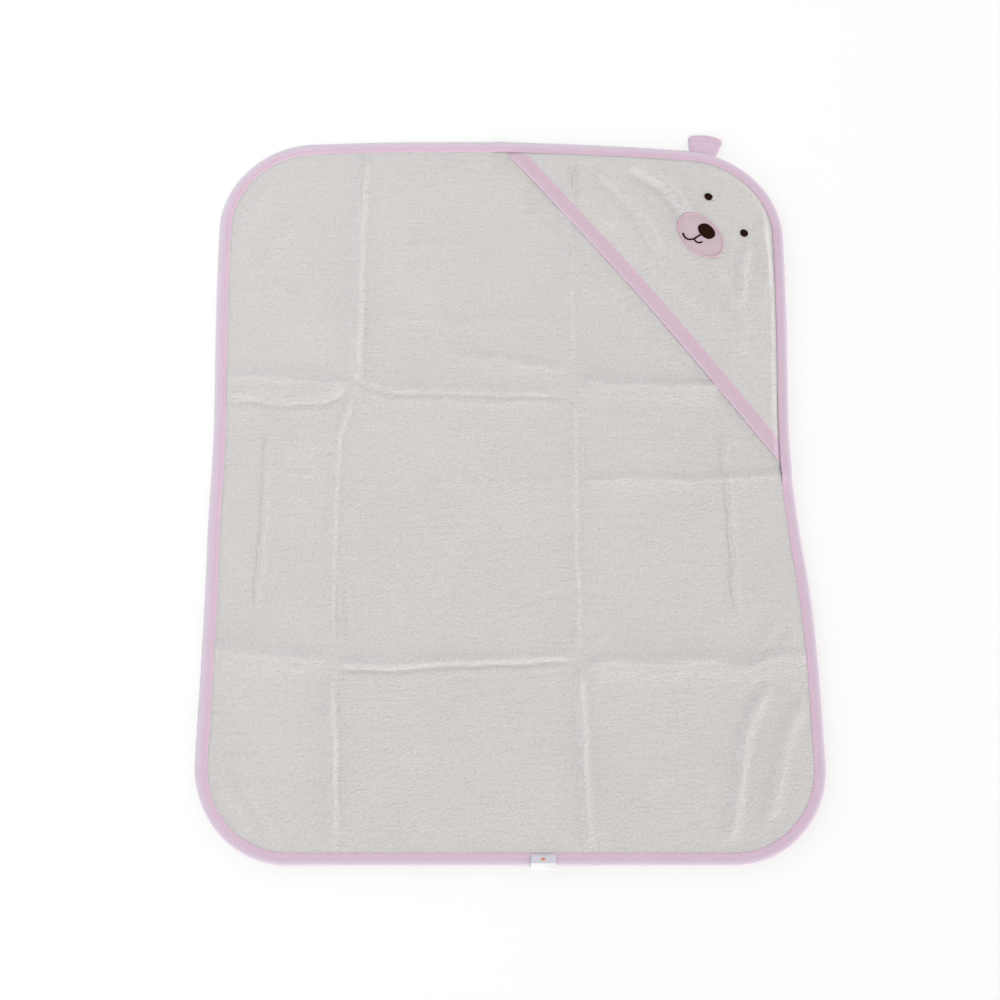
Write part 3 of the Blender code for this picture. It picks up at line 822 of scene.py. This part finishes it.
# The folded tape's section: (share of its width from the fold, millimetres above its underside).
TAPE_SECTION = (
    (1.000, 0.10), (0.780, 0.00), (0.500, -0.05), (0.260, -0.20), (0.090, -0.25), (0.022, 0.15),
    (0.000, 0.85), (0.022, 1.70), (0.090, 2.50), (0.220, 3.02), (0.390, 3.05), (0.505, 2.78),
    (0.550, 2.60), (0.595, 2.74), (0.700, 2.86), (0.800, 2.72), (0.840, 2.58), (0.880, 2.68),
    (0.960, 2.46), (1.000, 2.20), (0.995, 2.02), (0.500, 2.00), (0.120, 1.95), (0.060, 1.20),
    (0.120, 0.60), (0.500, 0.60), (0.995, 0.60),
)
# Between these heights, in millimetres, the tape's lower half gives way to its upper one.
TAPE_LOWER_HALF = 0.8
TAPE_UPPER_HALF = 2.0
TAPE_STEP = 0.0031
TAPE_PUCKER = 0.00016
TAPE_PUCKER_LENGTH = 0.0062
TAPE_PUCKER_SHIFT = 9
LEG_TAPE_RISE = 0.0013
LEG_RISE_RUN = 0.006
MOUTH_END_RISE = 0.0011
MOUTH_END_PLACE = 0.009
MOUTH_END_REACH = 0.008
MOUTH_TAPE_END = 0.0075
MOUTH_TAPE_POINTS = 190
MOUTH_LENGTH = 0.6

STITCH_PITCH = 0.0030
STITCH_LENGTH = 0.0025
# A stitch from end to end: (share of its length, height and radius in millimetres).
STITCH_SHAPE = (
    (-0.50, -0.30, 0.12),
    (-0.36, 0.02, 0.28),
    (0.00, 0.10, 0.34),
    (0.36, 0.02, 0.28),
    (0.50, -0.30, 0.12),
)
# Each tape's rows: (name, share of the tape's width, millimetres above its underside).
THREAD_ROWS = (
    ("outer", OUTER_ROW, 2.72),
    ("inner", INNER_ROW, 2.70),
    ("looper", (OUTER_ROW + INNER_ROW) / 2, -0.30),
)
MOUTH_ROW_END = EDGE_TAPE_WIDTH + 0.002
MOUTH_ROW_POINTS = 400


def tape_rise(places):
    """How much higher the edge's tape stands where the hood is sewn in under it."""
    inwards = mouth_inset(places)
    mouth_end = np.exp(-(((inwards - MOUTH_END_PLACE) / MOUTH_END_REACH) ** 2))
    return LEG_TAPE_RISE * smooth(inwards / LEG_RISE_RUN + 1) + MOUTH_END_RISE * mouth_end


def folded_tape(name, distances, width, lay, rise, ring, material):
    """A folded tape along its line, puffed between its fold and its first row of stitches."""
    count = len(distances)
    lines, shares, runs = [], [], []
    for share, height in TAPE_SECTION:
        above = smooth((height - TAPE_LOWER_HALF) / (TAPE_UPPER_HALF - TAPE_LOWER_HALF))
        turns = distances * math.tau / TAPE_PUCKER_LENGTH + TAPE_PUCKER_SHIFT * share
        lines.append(lay(share * width, height * MM + above * (TAPE_PUCKER * np.sin(turns) + rise)))
        shares.append(np.full(count, share))
        runs.append(np.column_stack((distances, np.full(count, share * width), np.zeros(count))))
    attributes = {"tape_share": np.concatenate(shares), "tape_run": np.vstack(runs)}
    return swept(name, lines, ring, material, attributes)


def edge_tape(material):
    """The tape round the whole edge."""
    count = round(EDGE_LENGTH / TAPE_STEP)
    distances = np.arange(count) * EDGE_LENGTH / count
    edge, outward = edge_frame(distances)

    def lay(inset, heights):
        return on_towel(edge - outward * inset, TAPE_BOTTOM + heights)

    return folded_tape("edge_tape", distances, EDGE_TAPE_WIDTH, lay, tape_rise(edge), True, material)


def mouth_tape(material):
    """The tape along the hood's mouth, its ends tucked under the edge's tape."""

    def lay(inset, heights):
        return on_hood(mouth_line(inset, MOUTH_TAPE_END, MOUTH_TAPE_POINTS), HOOD_TAPE_BOTTOM + heights)

    distances = np.linspace(0, MOUTH_LENGTH, MOUTH_TAPE_POINTS)
    return folded_tape("hood_tape", distances, HOOD_TAPE_WIDTH, lay, 0.0, False, material)


def run_lengths(line):
    """How far along a line each of its points is."""
    return np.concatenate(([0.0], np.cumsum(np.linalg.norm(np.diff(line, axis=0), axis=1))))


def points_along(line, distances):
    """The points at these distances along a line."""
    runs = run_lengths(line)
    return np.column_stack([np.interp(distances, runs, line[:, axis]) for axis in (0, 1)])


def spaced(length, pitch):
    """The middles of equal steps along a length, as near to the pitch as fits."""
    count = round(length / pitch)
    return (np.arange(count) + 0.5) * length / count


def stitches(name, centres, material, place_at):
    """A row of separate stitches, each a short thread that dips into the cloth at both ends."""
    paths = []
    for along, lift, _ in STITCH_SHAPE:
        points = place_at(centres + along * STITCH_LENGTH)
        points[:, 2] += lift * MM
        paths.append(points)
    radii = np.array([radius * MM for _, _, radius in STITCH_SHAPE])
    return threads(name, np.stack(paths, axis=1), radii, material)


def edge_stitches(material):
    """The rows round the edge: two on the tape, and the looper's thread under it."""
    made = []
    count = round(EDGE_LENGTH / STITCH_PITCH)
    centres = np.arange(count) * EDGE_LENGTH / count
    for name, share, height in THREAD_ROWS:

        def place_at(distances, share=share, height=height):
            edge, outward = edge_frame(distances)
            rise = (height > 0) * tape_rise(edge)
            places = edge - outward * (share * EDGE_TAPE_WIDTH)
            return on_towel(places, TAPE_BOTTOM + height * MM + rise)

        row = stitches(f"edge_thread_{name}", centres, material, place_at)
        made.append(stand_for(row, f"edge_stitch_{name}", "towel"))
    return made


def mouth_stitches(material):
    """The same rows along the hood's mouth."""
    made = []
    for name, share, height in THREAD_ROWS:
        line = mouth_line(share * HOOD_TAPE_WIDTH, MOUTH_ROW_END, MOUTH_ROW_POINTS)

        def place_at(distances, line=line, height=height):
            return on_hood(points_along(line, distances), HOOD_TAPE_BOTTOM + height * MM)

        centres = spaced(run_lengths(line)[-1], STITCH_PITCH)
        row = stitches(f"hood_thread_{name}", centres, material, place_at)
        made.append(stand_for(row, f"hood_stitch_{name}"))
    return made


# ---------------------------------------------------------------- the hood


HOOD_COLUMNS = 130
HOOD_ROWS = 70
HOOD_EDGE_INSET = 0.0090
HOOD_RIM_INSETS = (0.0022, 0.0130)
MOUTH_PUFF = 0.0005
MOUTH_PUFF_PLACE = 0.022
MOUTH_PUFF_REACH = 0.006


def hood_grid():
    """Rows of cut points from the mouth to the rounded corner. The first two are its pressed rim."""
    rows = [mouth_line(inset, HOOD_EDGE_INSET, HOOD_COLUMNS) for inset in HOOD_RIM_INSETS]
    near = mouth_line(HOOD_TAPE_WIDTH + 0.0005, HOOD_EDGE_INSET, HOOD_COLUMNS)
    centre = np.array((HALF_WIDTH - TOP_RADIUS, HALF_LENGTH - TOP_RADIUS))
    far = centre + (TOP_RADIUS - HOOD_EDGE_INSET) * directions(np.linspace(90, 0, HOOD_COLUMNS))
    along = np.linspace(0, 1, HOOD_COLUMNS)[:, None]
    near_chord = near[0] + (near[-1] - near[0]) * along
    far_chord = far[0] + (far[-1] - far[0]) * along
    for up in np.linspace(0, 1, HOOD_ROWS):
        left = near[0] + (far[0] - near[0]) * up
        right = near[-1] + (far[-1] - near[-1]) * up
        corners = near_chord * (1 - up) + far_chord * up
        rows.append(near + (far - near) * up + left + (right - left) * along - corners)
    return np.array(rows)


def make_hood(terry):
    """The hood's terry triangle, two sided, its mouth's rim pressed thin inside the tape."""
    grid = hood_grid()
    rows, columns = grid.shape[:2]
    rim = np.arange(rows * columns) < len(HOOD_RIM_INSETS) * columns
    places = grid.reshape(-1, 2)
    clumps = pile_clumps(laid(places)) * ~rim
    past_tape = mouth_inset(places) - MOUTH_PUFF_PLACE
    puff = MOUTH_PUFF * np.exp(-((past_tape / MOUTH_PUFF_REACH) ** 2)) * ~rim
    top = on_hood(places, np.where(rim, HOOD_RIM_TOP, HOOD_TOP) + puff)
    top[:, 2] += clumps
    bottom = on_hood(places, np.where(rim, HOOD_RIM_BOTTOM, HOOD_BOTTOM))
    return two_sided("hood_terry", top, bottom, rows, columns, terry)


# ---------------------------------------------------------------- the face


SATIN_PITCH = 0.00042
SATIN_RADIUS = 0.00032
SATIN_POINTS = 9
SATIN_RADII = SATIN_RADIUS * np.array((0.5,) + (1,) * (SATIN_POINTS - 2) + (0.5,))
SATIN_END_DIP = 0.0004
SATIN_SIDES = 5
SATIN_WOBBLE = 0.00012
SATIN_WOBBLE_RATE = 9000
NOSE_CROWN = 0.0009
NOSE_SLANT = 12
EYE_CROWN = 0.0011
EYE_SLANTS = {"left": 20, "right": 160}
SMILE_CROWN = 0.0005
SMILE_THINNING = 0.9
STROKE_SPREAD = 1.2
BORDER_CROWN = 0.0007
BORDER_OVERHANG = 0.0003
PATCH_STEPS = 96
PATCH_RINGS = 14
PATCH_DOME = 0.0006


def satin_paths(place, starts, ends, base, crown):
    """Threads laid across the face from starts to ends, each crowned over the cloth between them."""
    paths = []
    for share in np.linspace(0, 1, SATIN_POINTS):
        points = on_hood(on_face(place, starts + (ends - starts) * share), base)
        off_middle = abs(2 * share - 1)
        points[:, 2] += crown * (1 - off_middle**4) - SATIN_END_DIP * (off_middle > 0.99)
        paths.append(points)
    return np.stack(paths, axis=1)


def satin_oval(name, place, size, squareness, base, crown, material, slant):
    """An oval filled with threads side by side, laid at a slant to the face."""
    turn = directions(slant)
    across = np.array((-turn[1], turn[0]))
    outline = oval(*size, 4000, squareness)
    reach = outline @ turn
    starts, ends, crowns = [], [], []
    most = reach.max()
    for offset in np.arange(-most + SATIN_PITCH / 2, most, SATIN_PITCH):
        near = np.abs(reach - offset) < SATIN_PITCH / 3
        spans = (outline @ across)[near]
        wobble = SATIN_WOBBLE * math.sin(offset * SATIN_WOBBLE_RATE)
        starts.append(turn * offset + across * (spans.min() - wobble))
        ends.append(turn * offset + across * (spans.max() + wobble))
        crowns.append(crown * math.sqrt(max(0.0, 1 - (offset / most) ** 2)) + 0.0001)
    paths = satin_paths(place, np.array(starts), np.array(ends), base, np.array(crowns))
    return threads(name, paths, SATIN_RADII, material, SATIN_SIDES)


def bowed(start, end, sag, steps):
    """Points along a shallow arc that sags below the line from start to end."""
    start, end = np.array(start), np.array(end)
    along = (end - start) / np.linalg.norm(end - start)
    below = np.array((along[1], -along[0]))
    if below[1] > 0:
        below = -below
    share = np.linspace(0, 1, steps)[:, None]
    return start + (end - start) * share + below * (4 * sag * share * (1 - share))


def satin_stroke(line):
    """Where the threads of an embroidered stroke start and end, on both sides of its line."""
    length = run_lengths(line)[-1]
    distances = np.arange(0, length, SATIN_PITCH)
    places = points_along(line, distances)
    tangent = np.gradient(places, axis=0)
    tangent = tangent / np.linalg.norm(tangent, axis=1)[:, None]
    aside = np.column_stack((-tangent[:, 1], tangent[:, 0]))
    ends = np.minimum(distances, length - distances) / (SMILE_WIDTH / 2)
    rounding = np.sqrt(1 - (1 - np.clip(ends, 0.05, 1)) ** 2)[:, None]
    half = STROKE_SPREAD * SMILE_WIDTH / 2 * rounding
    return places - aside * half, places + aside * half


def make_muzzle(knit):
    """The muzzle's oval patch, slightly domed."""
    outline = oval(MUZZLE_LENGTH, MUZZLE_WIDTH, PATCH_STEPS)
    loops = [on_face(MUZZLE_CENTRE, outline * share) for share in np.linspace(0.02, 0.985, PATCH_RINGS)]
    domes = PATCH_DOME * (1 - np.linspace(0.02, 1.0, PATCH_RINGS) ** 4)
    top = [on_hood(loop, PATCH_BOTTOM + 0.0004) + (0, 0, dome) for loop, dome in zip(loops, domes)]
    bottom = [on_hood(loop, PATCH_BOTTOM - 0.0002) for loop in loops]
    return stand_for(swept("muzzle_cloth", top + bottom[::-1], True, knit), "muzzle_patch")


def make_border(thread):
    """The satin stitch round the muzzle, each thread laid across the patch's edge."""
    root = math.sqrt((3 * MUZZLE_LENGTH + MUZZLE_WIDTH) * (MUZZLE_LENGTH + 3 * MUZZLE_WIDTH))
    circumference = math.pi * (3 * (MUZZLE_LENGTH + MUZZLE_WIDTH) - root) / 2
    count = round(circumference / SATIN_PITCH)
    outer, inner = (
        oval(MUZZLE_LENGTH + 2 * past, MUZZLE_WIDTH + 2 * past, count)
        for past in (BORDER_OVERHANG, -MUZZLE_BORDER_WIDTH)
    )
    paths = satin_paths(MUZZLE_CENTRE, outer, inner, PATCH_BOTTOM + 0.0004, BORDER_CROWN)
    border = threads("muzzle_satin_border", paths, SATIN_RADII, thread, SATIN_SIDES)
    return stand_for(border, "muzzle_border")


def make_features(thread):
    """The nose, the mouth and the two eyes."""
    nose = satin_oval("nose_satin", NOSE_CENTRE, (NOSE_LENGTH, NOSE_WIDTH), NOSE_SQUARENESS,
                      RAISED_BOTTOM + 0.0001, NOSE_CROWN, thread, NOSE_SLANT)
    pieces = [stand_for(nose, "nose_embroidery")]

    stem = np.linspace(SMILE_STEM[0], SMILE_STEM[1], 20)
    left = bowed(SMILE_STEM[1], SMILE_LEFT_END, SMILE_LEFT_SAG, 60)
    right = bowed(SMILE_STEM[1], SMILE_RIGHT_END, SMILE_RIGHT_SAG, 60)
    starts, ends = zip(*(satin_stroke(line) for line in (stem, left, right)))
    paths = satin_paths(NOSE_CENTRE, np.vstack(starts), np.vstack(ends), RAISED_BOTTOM, SMILE_CROWN)
    smile = threads("mouth_satin", paths, SATIN_RADII * SMILE_THINNING, thread, SATIN_SIDES)
    pieces.append(stand_for(smile, "mouth_embroidery"))

    for name, place in (("left", LEFT_EYE), ("right", RIGHT_EYE)):
        eye = satin_oval(f"eye_satin_{name}", place, (EYE_DIAMETER, EYE_DIAMETER), 2.0,
                         PATCH_BOTTOM + 0.0001, EYE_CROWN, thread, EYE_SLANTS[name])
        pieces.append(stand_for(eye, f"eye_{name}"))
    return pieces


# ---------------------------------------------------------------- the ear


EAR_ROOT_TUCK = 0.0055
EAR_SKEW = 0.0045
EAR_RIGHT_RISE = 0.0050
EAR_COLUMNS = 31
EAR_RISE_LENGTH = 0.006
EAR_TUCKED_BOTTOM = 0.00012
EAR_SQUEEZE = 0.26
EAR_BACK_BOTTOM = 0.0005
EAR_BACK_TOP = 0.0013
EAR_FRONT_BOTTOM = 0.0014
EAR_FRONT_TOP = 0.0020
EAR_PUFF = 0.0007
EAR_STITCH_START = 0.003
EAR_FLARE = (EAR_TIP_WIDTH - EAR_ROOT_WIDTH) / 2 / EAR_HEIGHT
EAR_CORNER_Y = EAR_HEIGHT - EAR_CORNER_RADIUS
EAR_CORNER_X = EAR_ROOT_WIDTH / 2 + EAR_FLARE * EAR_CORNER_Y - EAR_CORNER_RADIUS


def ear_axes():
    """The middle of the ear's root, just outside the edge, and its directions out and along."""
    out = directions(EAR_BEARING)
    corner = np.array((HALF_WIDTH - TOP_RADIUS, HALF_LENGTH - TOP_RADIUS))
    return corner + out * (TOP_RADIUS + 0.0003), out, np.array((out[1], -out[0]))


def ear_corner(radius, first):
    """Points round the ear's corner at this radius, from the first direction to straight out."""
    return (directions(np.linspace(first, 90, 12)) * radius + (EAR_CORNER_X, EAR_CORNER_Y)).tolist()


def ear_rows():
    """The ear's rows from under the tape to its tip, as (half its width, height above its root)."""
    lean = math.degrees(math.atan(EAR_FLARE))
    heights = np.linspace(-EAR_ROOT_TUCK, EAR_CORNER_Y, 20)
    straight = [(EAR_ROOT_WIDTH / 2 + EAR_FLARE * max(0.0, height), height) for height in heights]
    return straight + ear_corner(EAR_CORNER_RADIUS, 8 - lean)


def ear_skewed(points):
    """The ear's points with its right side drawn out wider and longer than its left one."""
    drawn = np.maximum(0.0, points[:, 1] / EAR_HEIGHT) * (1 + points[:, 0] / (EAR_TIP_WIDTH / 2)) / 2
    return points + np.column_stack((EAR_SKEW * drawn, EAR_RIGHT_RISE * drawn))


def ear_ripple(side, up):
    """How the ear waves and sags, by the share of its half width and of its height."""
    wave = 0.0003 * np.sin(side * 4.1 + 0.6) + 0.00025 * np.cos(side * 9.0 + up * 5.0)
    return wave * up + 0.0006 * up**2 * (1 + side) / 2


def ear_puff(side, up):
    """How far the two plies part, from 0 at the seam to 1 inside it."""
    return np.clip(1 - np.abs(side) ** 5, 0, 1) * (1 - up**7)


def on_ear(points, height):
    """Points of the ear's own plane, (along, out), tucked low and thin under the tape at its root."""
    root, out, along = ear_axes()
    places = root + points[:, :1] * along + points[:, 1:] * out
    free = smooth(points[:, 1] / EAR_RISE_LENGTH)
    tucked = EAR_TUCKED_BOTTOM + (height - EAR_BACK_BOTTOM) * EAR_SQUEEZE
    return on_towel(places, tucked + (height - tucked) * free)


def ear_weights(piece):
    """Bakes a piece's placement into its mesh; the laid places just inside and outside the ear's root are
    found but not used.
    """
    root, out, _ = ear_axes()
    start, end = (laid(root + out * reach) for reach in (-0.0005, 0.0040))
    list(start)
    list(end)
    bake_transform(piece)


def make_ear(knit, thread):
    """The ear's two plies, joined along their seam, and the stitches round it."""
    shares = np.linspace(-1, 1, EAR_COLUMNS)
    rows = ear_rows()
    points = np.array([
        (share * half, height + EAR_TIP_BOW * max(0.0, height / EAR_HEIGHT) ** 3 * (1 - share**2))
        for half, height in rows
        for share in shares
    ])
    side = np.tile(shares, len(rows))
    up = np.clip(points[:, 1] / EAR_HEIGHT, 0, 1)
    puff = ear_puff(side, up)
    ripple = ear_ripple(side, up)
    points = ear_skewed(points)
    pieces = []
    for name, node, low, high in (
        ("ear_back_cloth", "ear_back", EAR_BACK_BOTTOM + 0.0005 * (1 - puff), EAR_BACK_TOP),
        ("ear_front_cloth", "ear_front", EAR_FRONT_BOTTOM + 0.0002 * puff, EAR_FRONT_TOP + EAR_PUFF * puff),
    ):
        top, bottom = (on_ear(points, height + ripple) for height in (high, low))
        piece = two_sided(name, top, bottom, len(rows), EAR_COLUMNS, knit)
        pieces.append(stand_for(piece, node))

    radius = EAR_CORNER_RADIUS - EAR_STITCH_INSET
    start = (EAR_ROOT_WIDTH / 2 - EAR_STITCH_INSET + EAR_FLARE * EAR_STITCH_START, EAR_STITCH_START)
    right = [start] + ear_corner(radius, 0)
    crown = [(EAR_CORNER_X * share, EAR_CORNER_Y + radius + EAR_TIP_BOW * (1 - share**2))
             for share in np.linspace(0.9, -0.9, 9)]
    line = np.array(right + crown + [(-x, y) for x, y in reversed(right)])

    def place_at(distances):
        places = points_along(line, distances)
        side = places[:, 0] / (EAR_TIP_WIDTH / 2)
        up = np.clip(places[:, 1] / EAR_HEIGHT, 0, 1)
        surface = EAR_FRONT_TOP - 0.00002 + EAR_PUFF * ear_puff(side, up) + ear_ripple(side, up)
        return on_ear(ear_skewed(places), surface)

    stitching = stitches("ear_thread", spaced(run_lengths(line)[-1], STITCH_PITCH), thread, place_at)
    pieces.append(stand_for(stitching, "ear_stitch"))
    for piece in pieces:
        ear_weights(piece)
    return pieces


# ---------------------------------------------------------------- the label


LABEL_PLY = 0.0003
LABEL_COLUMNS = 25
LABEL_STEPS = 22
LABEL_FOLD_SHARE = 0.06
LABEL_CURL = 0.0019
LABEL_LEFT_DIP = 0.0011
MARK_ROW_STEP = 0.11
MARK_RADIUS = 0.00024
TACK_PITCH = 0.0021
LABEL_ROOT = np.array((LABEL_X, -HALF_LENGTH + EDGE_TAPE_WIDTH - LABEL_ROOT_MARGIN))


def label_bend(across, down):
    """How the label stands off its flat place: a soft wave, and its lower right corner curling up."""
    right = np.clip(across, 0, 1)
    wave = 0.0003 * np.sin(across * 3.0 + 1.0) * down
    curl = LABEL_CURL * (right * smooth((down - 0.45) / 0.55)) ** 2
    return wave + curl - LABEL_LEFT_DIP * smooth((down - 0.6) / 0.4) * (1 - right)


def label_points(across, run, offset):
    """Points of the folded strip: run 0 to 1 down its front, 1 to 2 back up behind, offset outwards."""
    down = np.where(run < 1, run, 2 - run)
    radius = (LABEL_TOP - LABEL_BOTTOM - LABEL_PLY) / 2
    middle = (LABEL_TOP + LABEL_BOTTOM) / 2
    turn = np.clip((run - 1) / LABEL_FOLD_SHARE, -1, 1) * math.pi / 2
    y = LABEL_ROOT[1] - down * (LABEL_LENGTH - radius - LABEL_PLY / 2)
    y = y - np.where(np.abs(run - 1) < LABEL_FOLD_SHARE, (radius + offset) * np.cos(turn), 0.0)
    z = middle - (radius + offset) * np.sin(turn)
    x = LABEL_ROOT[0] + across * LABEL_WIDTH / 2
    ground = laid(np.column_stack((x, y)))
    return np.column_stack((ground, z + label_bend(across, down)))


def make_label_strip(satin):
    """The folded strip, as one closed section down its front, round its fold and up its back."""
    down, back = np.linspace(0, 0.93, LABEL_STEPS), np.linspace(1.07, 2, LABEL_STEPS)
    runs = np.concatenate((down, np.linspace(0.945, 1.055, 9), back))
    across = np.linspace(-1, 1, LABEL_COLUMNS)
    lines, tones = [], []
    for offset, order in ((LABEL_PLY / 2, runs), (-LABEL_PLY / 2, runs[::-1])):
        for run in order:
            lines.append(label_points(across, np.full(LABEL_COLUMNS, run), offset))
            tones.append(np.full(LABEL_COLUMNS, run if run < 1 else 2 - run))
    strip = swept("label_satin", lines, False, satin, {"label_run": np.concatenate(tones)})
    return stand_for(strip, "woven_label")


def make_label_mark(thread):
    """One small plain oval of thread on the label's front."""
    half_size = np.array((LABEL_MARK_LENGTH / LABEL_WIDTH, LABEL_MARK_WIDTH / LABEL_LENGTH / 2))
    rows = np.arange(-0.97, 0.98, MARK_ROW_STEP)
    paths = []
    for share in np.linspace(-1, 1, 7):
        places = half_size * np.column_stack((rows, share * np.sqrt(1 - rows**2)))
        points = label_points(places[:, 0], LABEL_MARK_PLACE / LABEL_LENGTH + places[:, 1], LABEL_PLY / 2)
        points[:, 2] += 0.0002 + 0.00035 * (1 - share**4)
        paths.append(points)
    radii = MARK_RADIUS * np.array((0.5, 1, 1, 1, 1, 1, 0.5))
    mark = threads("label_oval", np.stack(paths, axis=1), radii, thread, SATIN_SIDES)
    return stand_for(mark, "label_mark")


def make_label(satin, tack_thread, mark_thread):
    """The label and its mark, and the row of stitches that holds them."""
    label, mark = make_label_strip(satin), make_label_mark(mark_thread)
    for piece in (label, mark):
        start, end = (laid(LABEL_ROOT - (0, reach)) for reach in (0.0, 0.0045))
        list(start)
        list(end)
        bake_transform(piece)

    def place_at(distances):
        x = LABEL_ROOT[0] - LABEL_WIDTH / 2 + distances
        places = np.column_stack((x, np.full(len(x), LABEL_ROOT[1] + 0.0007)))
        return np.column_stack((laid(places), np.full(len(x), LABEL_TOP - 0.0006)))

    tack = stitches("label_tack", spaced(LABEL_WIDTH, TACK_PITCH), tack_thread, place_at)
    stand_for(tack, "label_stitch", "towel")
    return label, mark


# ---------------------------------------------------------------- the studio


FLOOR_REACH = 14.0
FLOOR_DROP = 0.0002
FLOOR_TONE = 0.93
HORIZON_LEVEL = 3.3
ZENITH_SHARE = 0.145
SKY_STOPS = ((0.12, 1.0), (0.38, ZENITH_SHARE))
SKY_TINT = (0.97, 0.985, 1.0)
KEY_LEVEL = 1.85
KEY_SOFTNESS = 14.0
KEY_COLOUR = (1.0, 0.965, 0.915)
KEY_FROM = (1.5, -1.9, 2.0)
FILL_ENERGY = 11.0
FILL_SIZE = 1.8
FILL_COLOUR = (0.90, 0.95, 1.0)
FILL_FROM = (-1.9, 0.9, 1.1)


def make_floor():
    """A plain white floor."""
    mesh = bpy.data.meshes.new("floor")
    corners = ((-1, -1), (1, -1), (1, 1), (-1, 1))
    points = [(x * FLOOR_REACH, y * FLOOR_REACH, -FLOOR_DROP) for x, y in corners]
    mesh.from_pydata(points, [], [(0, 1, 2, 3)])
    floor = bpy.data.objects.new("floor", mesh)
    bpy.context.collection.objects.link(floor)
    paint = bpy.data.materials.new("floor_paint")
    paint.use_nodes = True
    shader = paint.node_tree.nodes["Principled BSDF"]
    shader.inputs["Base Color"].default_value = (FLOOR_TONE, FLOOR_TONE, FLOOR_TONE, 1.0)
    shader.inputs["Roughness"].default_value = 0.9
    shader.inputs["Specular IOR Level"].default_value = 0.1
    mesh.materials.append(paint)


def make_sky():
    """An even light from all round, strongest near the horizon."""
    world = bpy.data.worlds.new("studio")
    world.use_nodes = True
    tree = world.node_tree
    where = tree.nodes.new("ShaderNodeTexCoord")
    height = tree.nodes.new("ShaderNodeSeparateXYZ")
    ramp = tree.nodes.new("ShaderNodeValToRGB")
    ramp.color_ramp.interpolation = "EASE"
    for element, (position, level) in zip(ramp.color_ramp.elements, SKY_STOPS):
        element.position = position
        element.color = (*(share * level for share in SKY_TINT), 1.0)
    background = tree.nodes["Background"]
    background.inputs["Strength"].default_value = HORIZON_LEVEL
    tree.links.new(where.outputs["Generated"], height.inputs["Vector"])
    tree.links.new(height.outputs["Z"], ramp.inputs["Fac"])
    tree.links.new(ramp.outputs["Color"], background.inputs["Color"])
    bpy.context.scene.world = world


def aim_light(lamp, place):
    light = bpy.data.objects.new(lamp.name, lamp)
    bpy.context.collection.objects.link(light)
    light.location = place
    light.rotation_mode = "QUATERNION"
    light.rotation_quaternion = (-Vector(place)).to_track_quat("-Z", "Y")


def make_lights():
    """A soft warm key, and a cool fill from the other side."""
    sun = bpy.data.lights.new("key", "SUN")
    sun.energy = KEY_LEVEL
    sun.angle = math.radians(KEY_SOFTNESS)
    sun.color = KEY_COLOUR
    aim_light(sun, KEY_FROM)

    fill = bpy.data.lights.new("fill", "AREA")
    fill.energy = FILL_ENERGY
    fill.size = FILL_SIZE
    fill.color = FILL_COLOUR
    aim_light(fill, FILL_FROM)


def make_camera():
    lens = bpy.data.cameras.new("camera")
    lens.lens = CAMERA_LENS
    lens.sensor_width = CAMERA_SENSOR
    camera = bpy.data.objects.new("camera", lens)
    bpy.context.collection.objects.link(camera)
    camera.location = CAMERA_PLACE
    camera.rotation_euler = (math.radians(CAMERA_TILT), 0.0, 0.0)
    bpy.context.scene.camera = camera


# ---------------------------------------------------------------- everything together


def make_towel_pieces(terry, pink):
    """The sheet with its tape and threads, all of which stay on the ground."""
    tape = tape_finish("jersey_tape", TAPE_OUTER, TAPE_INNER)
    towel = stand_for(make_towel(terry), "towel_panel", "towel")
    binding = stand_for(edge_tape(tape), "edge_binding", "towel")
    rows = edge_stitches(pink)


def make_hood_pieces(terry, pink):
    """The hood with its tape, its threads and its face."""
    tape = tape_finish("hood_jersey_tape", HOOD_TAPE_OUTER, HOOD_TAPE_INNER)
    hood = stand_for(make_hood(terry), "hood_panel")
    on_it = [stand_for(mouth_tape(tape), "hood_binding")]
    on_it += mouth_stitches(pink)
    on_it.append(make_muzzle(knit_finish("muzzle_jersey", MUZZLE)))
    on_it.append(make_border(thread_finish("border_thread", BORDER_THREAD, 0.45)))
    on_it += make_features(thread_finish("brown_thread", BROWN, 0.8, 0.0, 0.0))
    for piece in [hood] + on_it:
        hood_weights(piece)


def make_object():
    terry = terry_finish("terry_cloth", TERRY)
    pink = thread_finish("pink_sewing_thread", PINK_THREAD)
    make_towel_pieces(terry, pink)
    make_hood_pieces(terry, pink)
    ear = make_ear(knit_finish("ear_jersey", EAR_PINK), pink)
    for ply in ear[:2]:
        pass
    white = thread_finish("white_sewing_thread", SATIN)
    orange = thread_finish("orange_thread", ORANGE)
    label, mark = make_label(satin_finish("label_satin_weave"), white, orange)


make_camera()
make_floor()
make_sky()
make_lights()
make_object()
bpy.context.scene.view_settings.view_transform = "Standard"
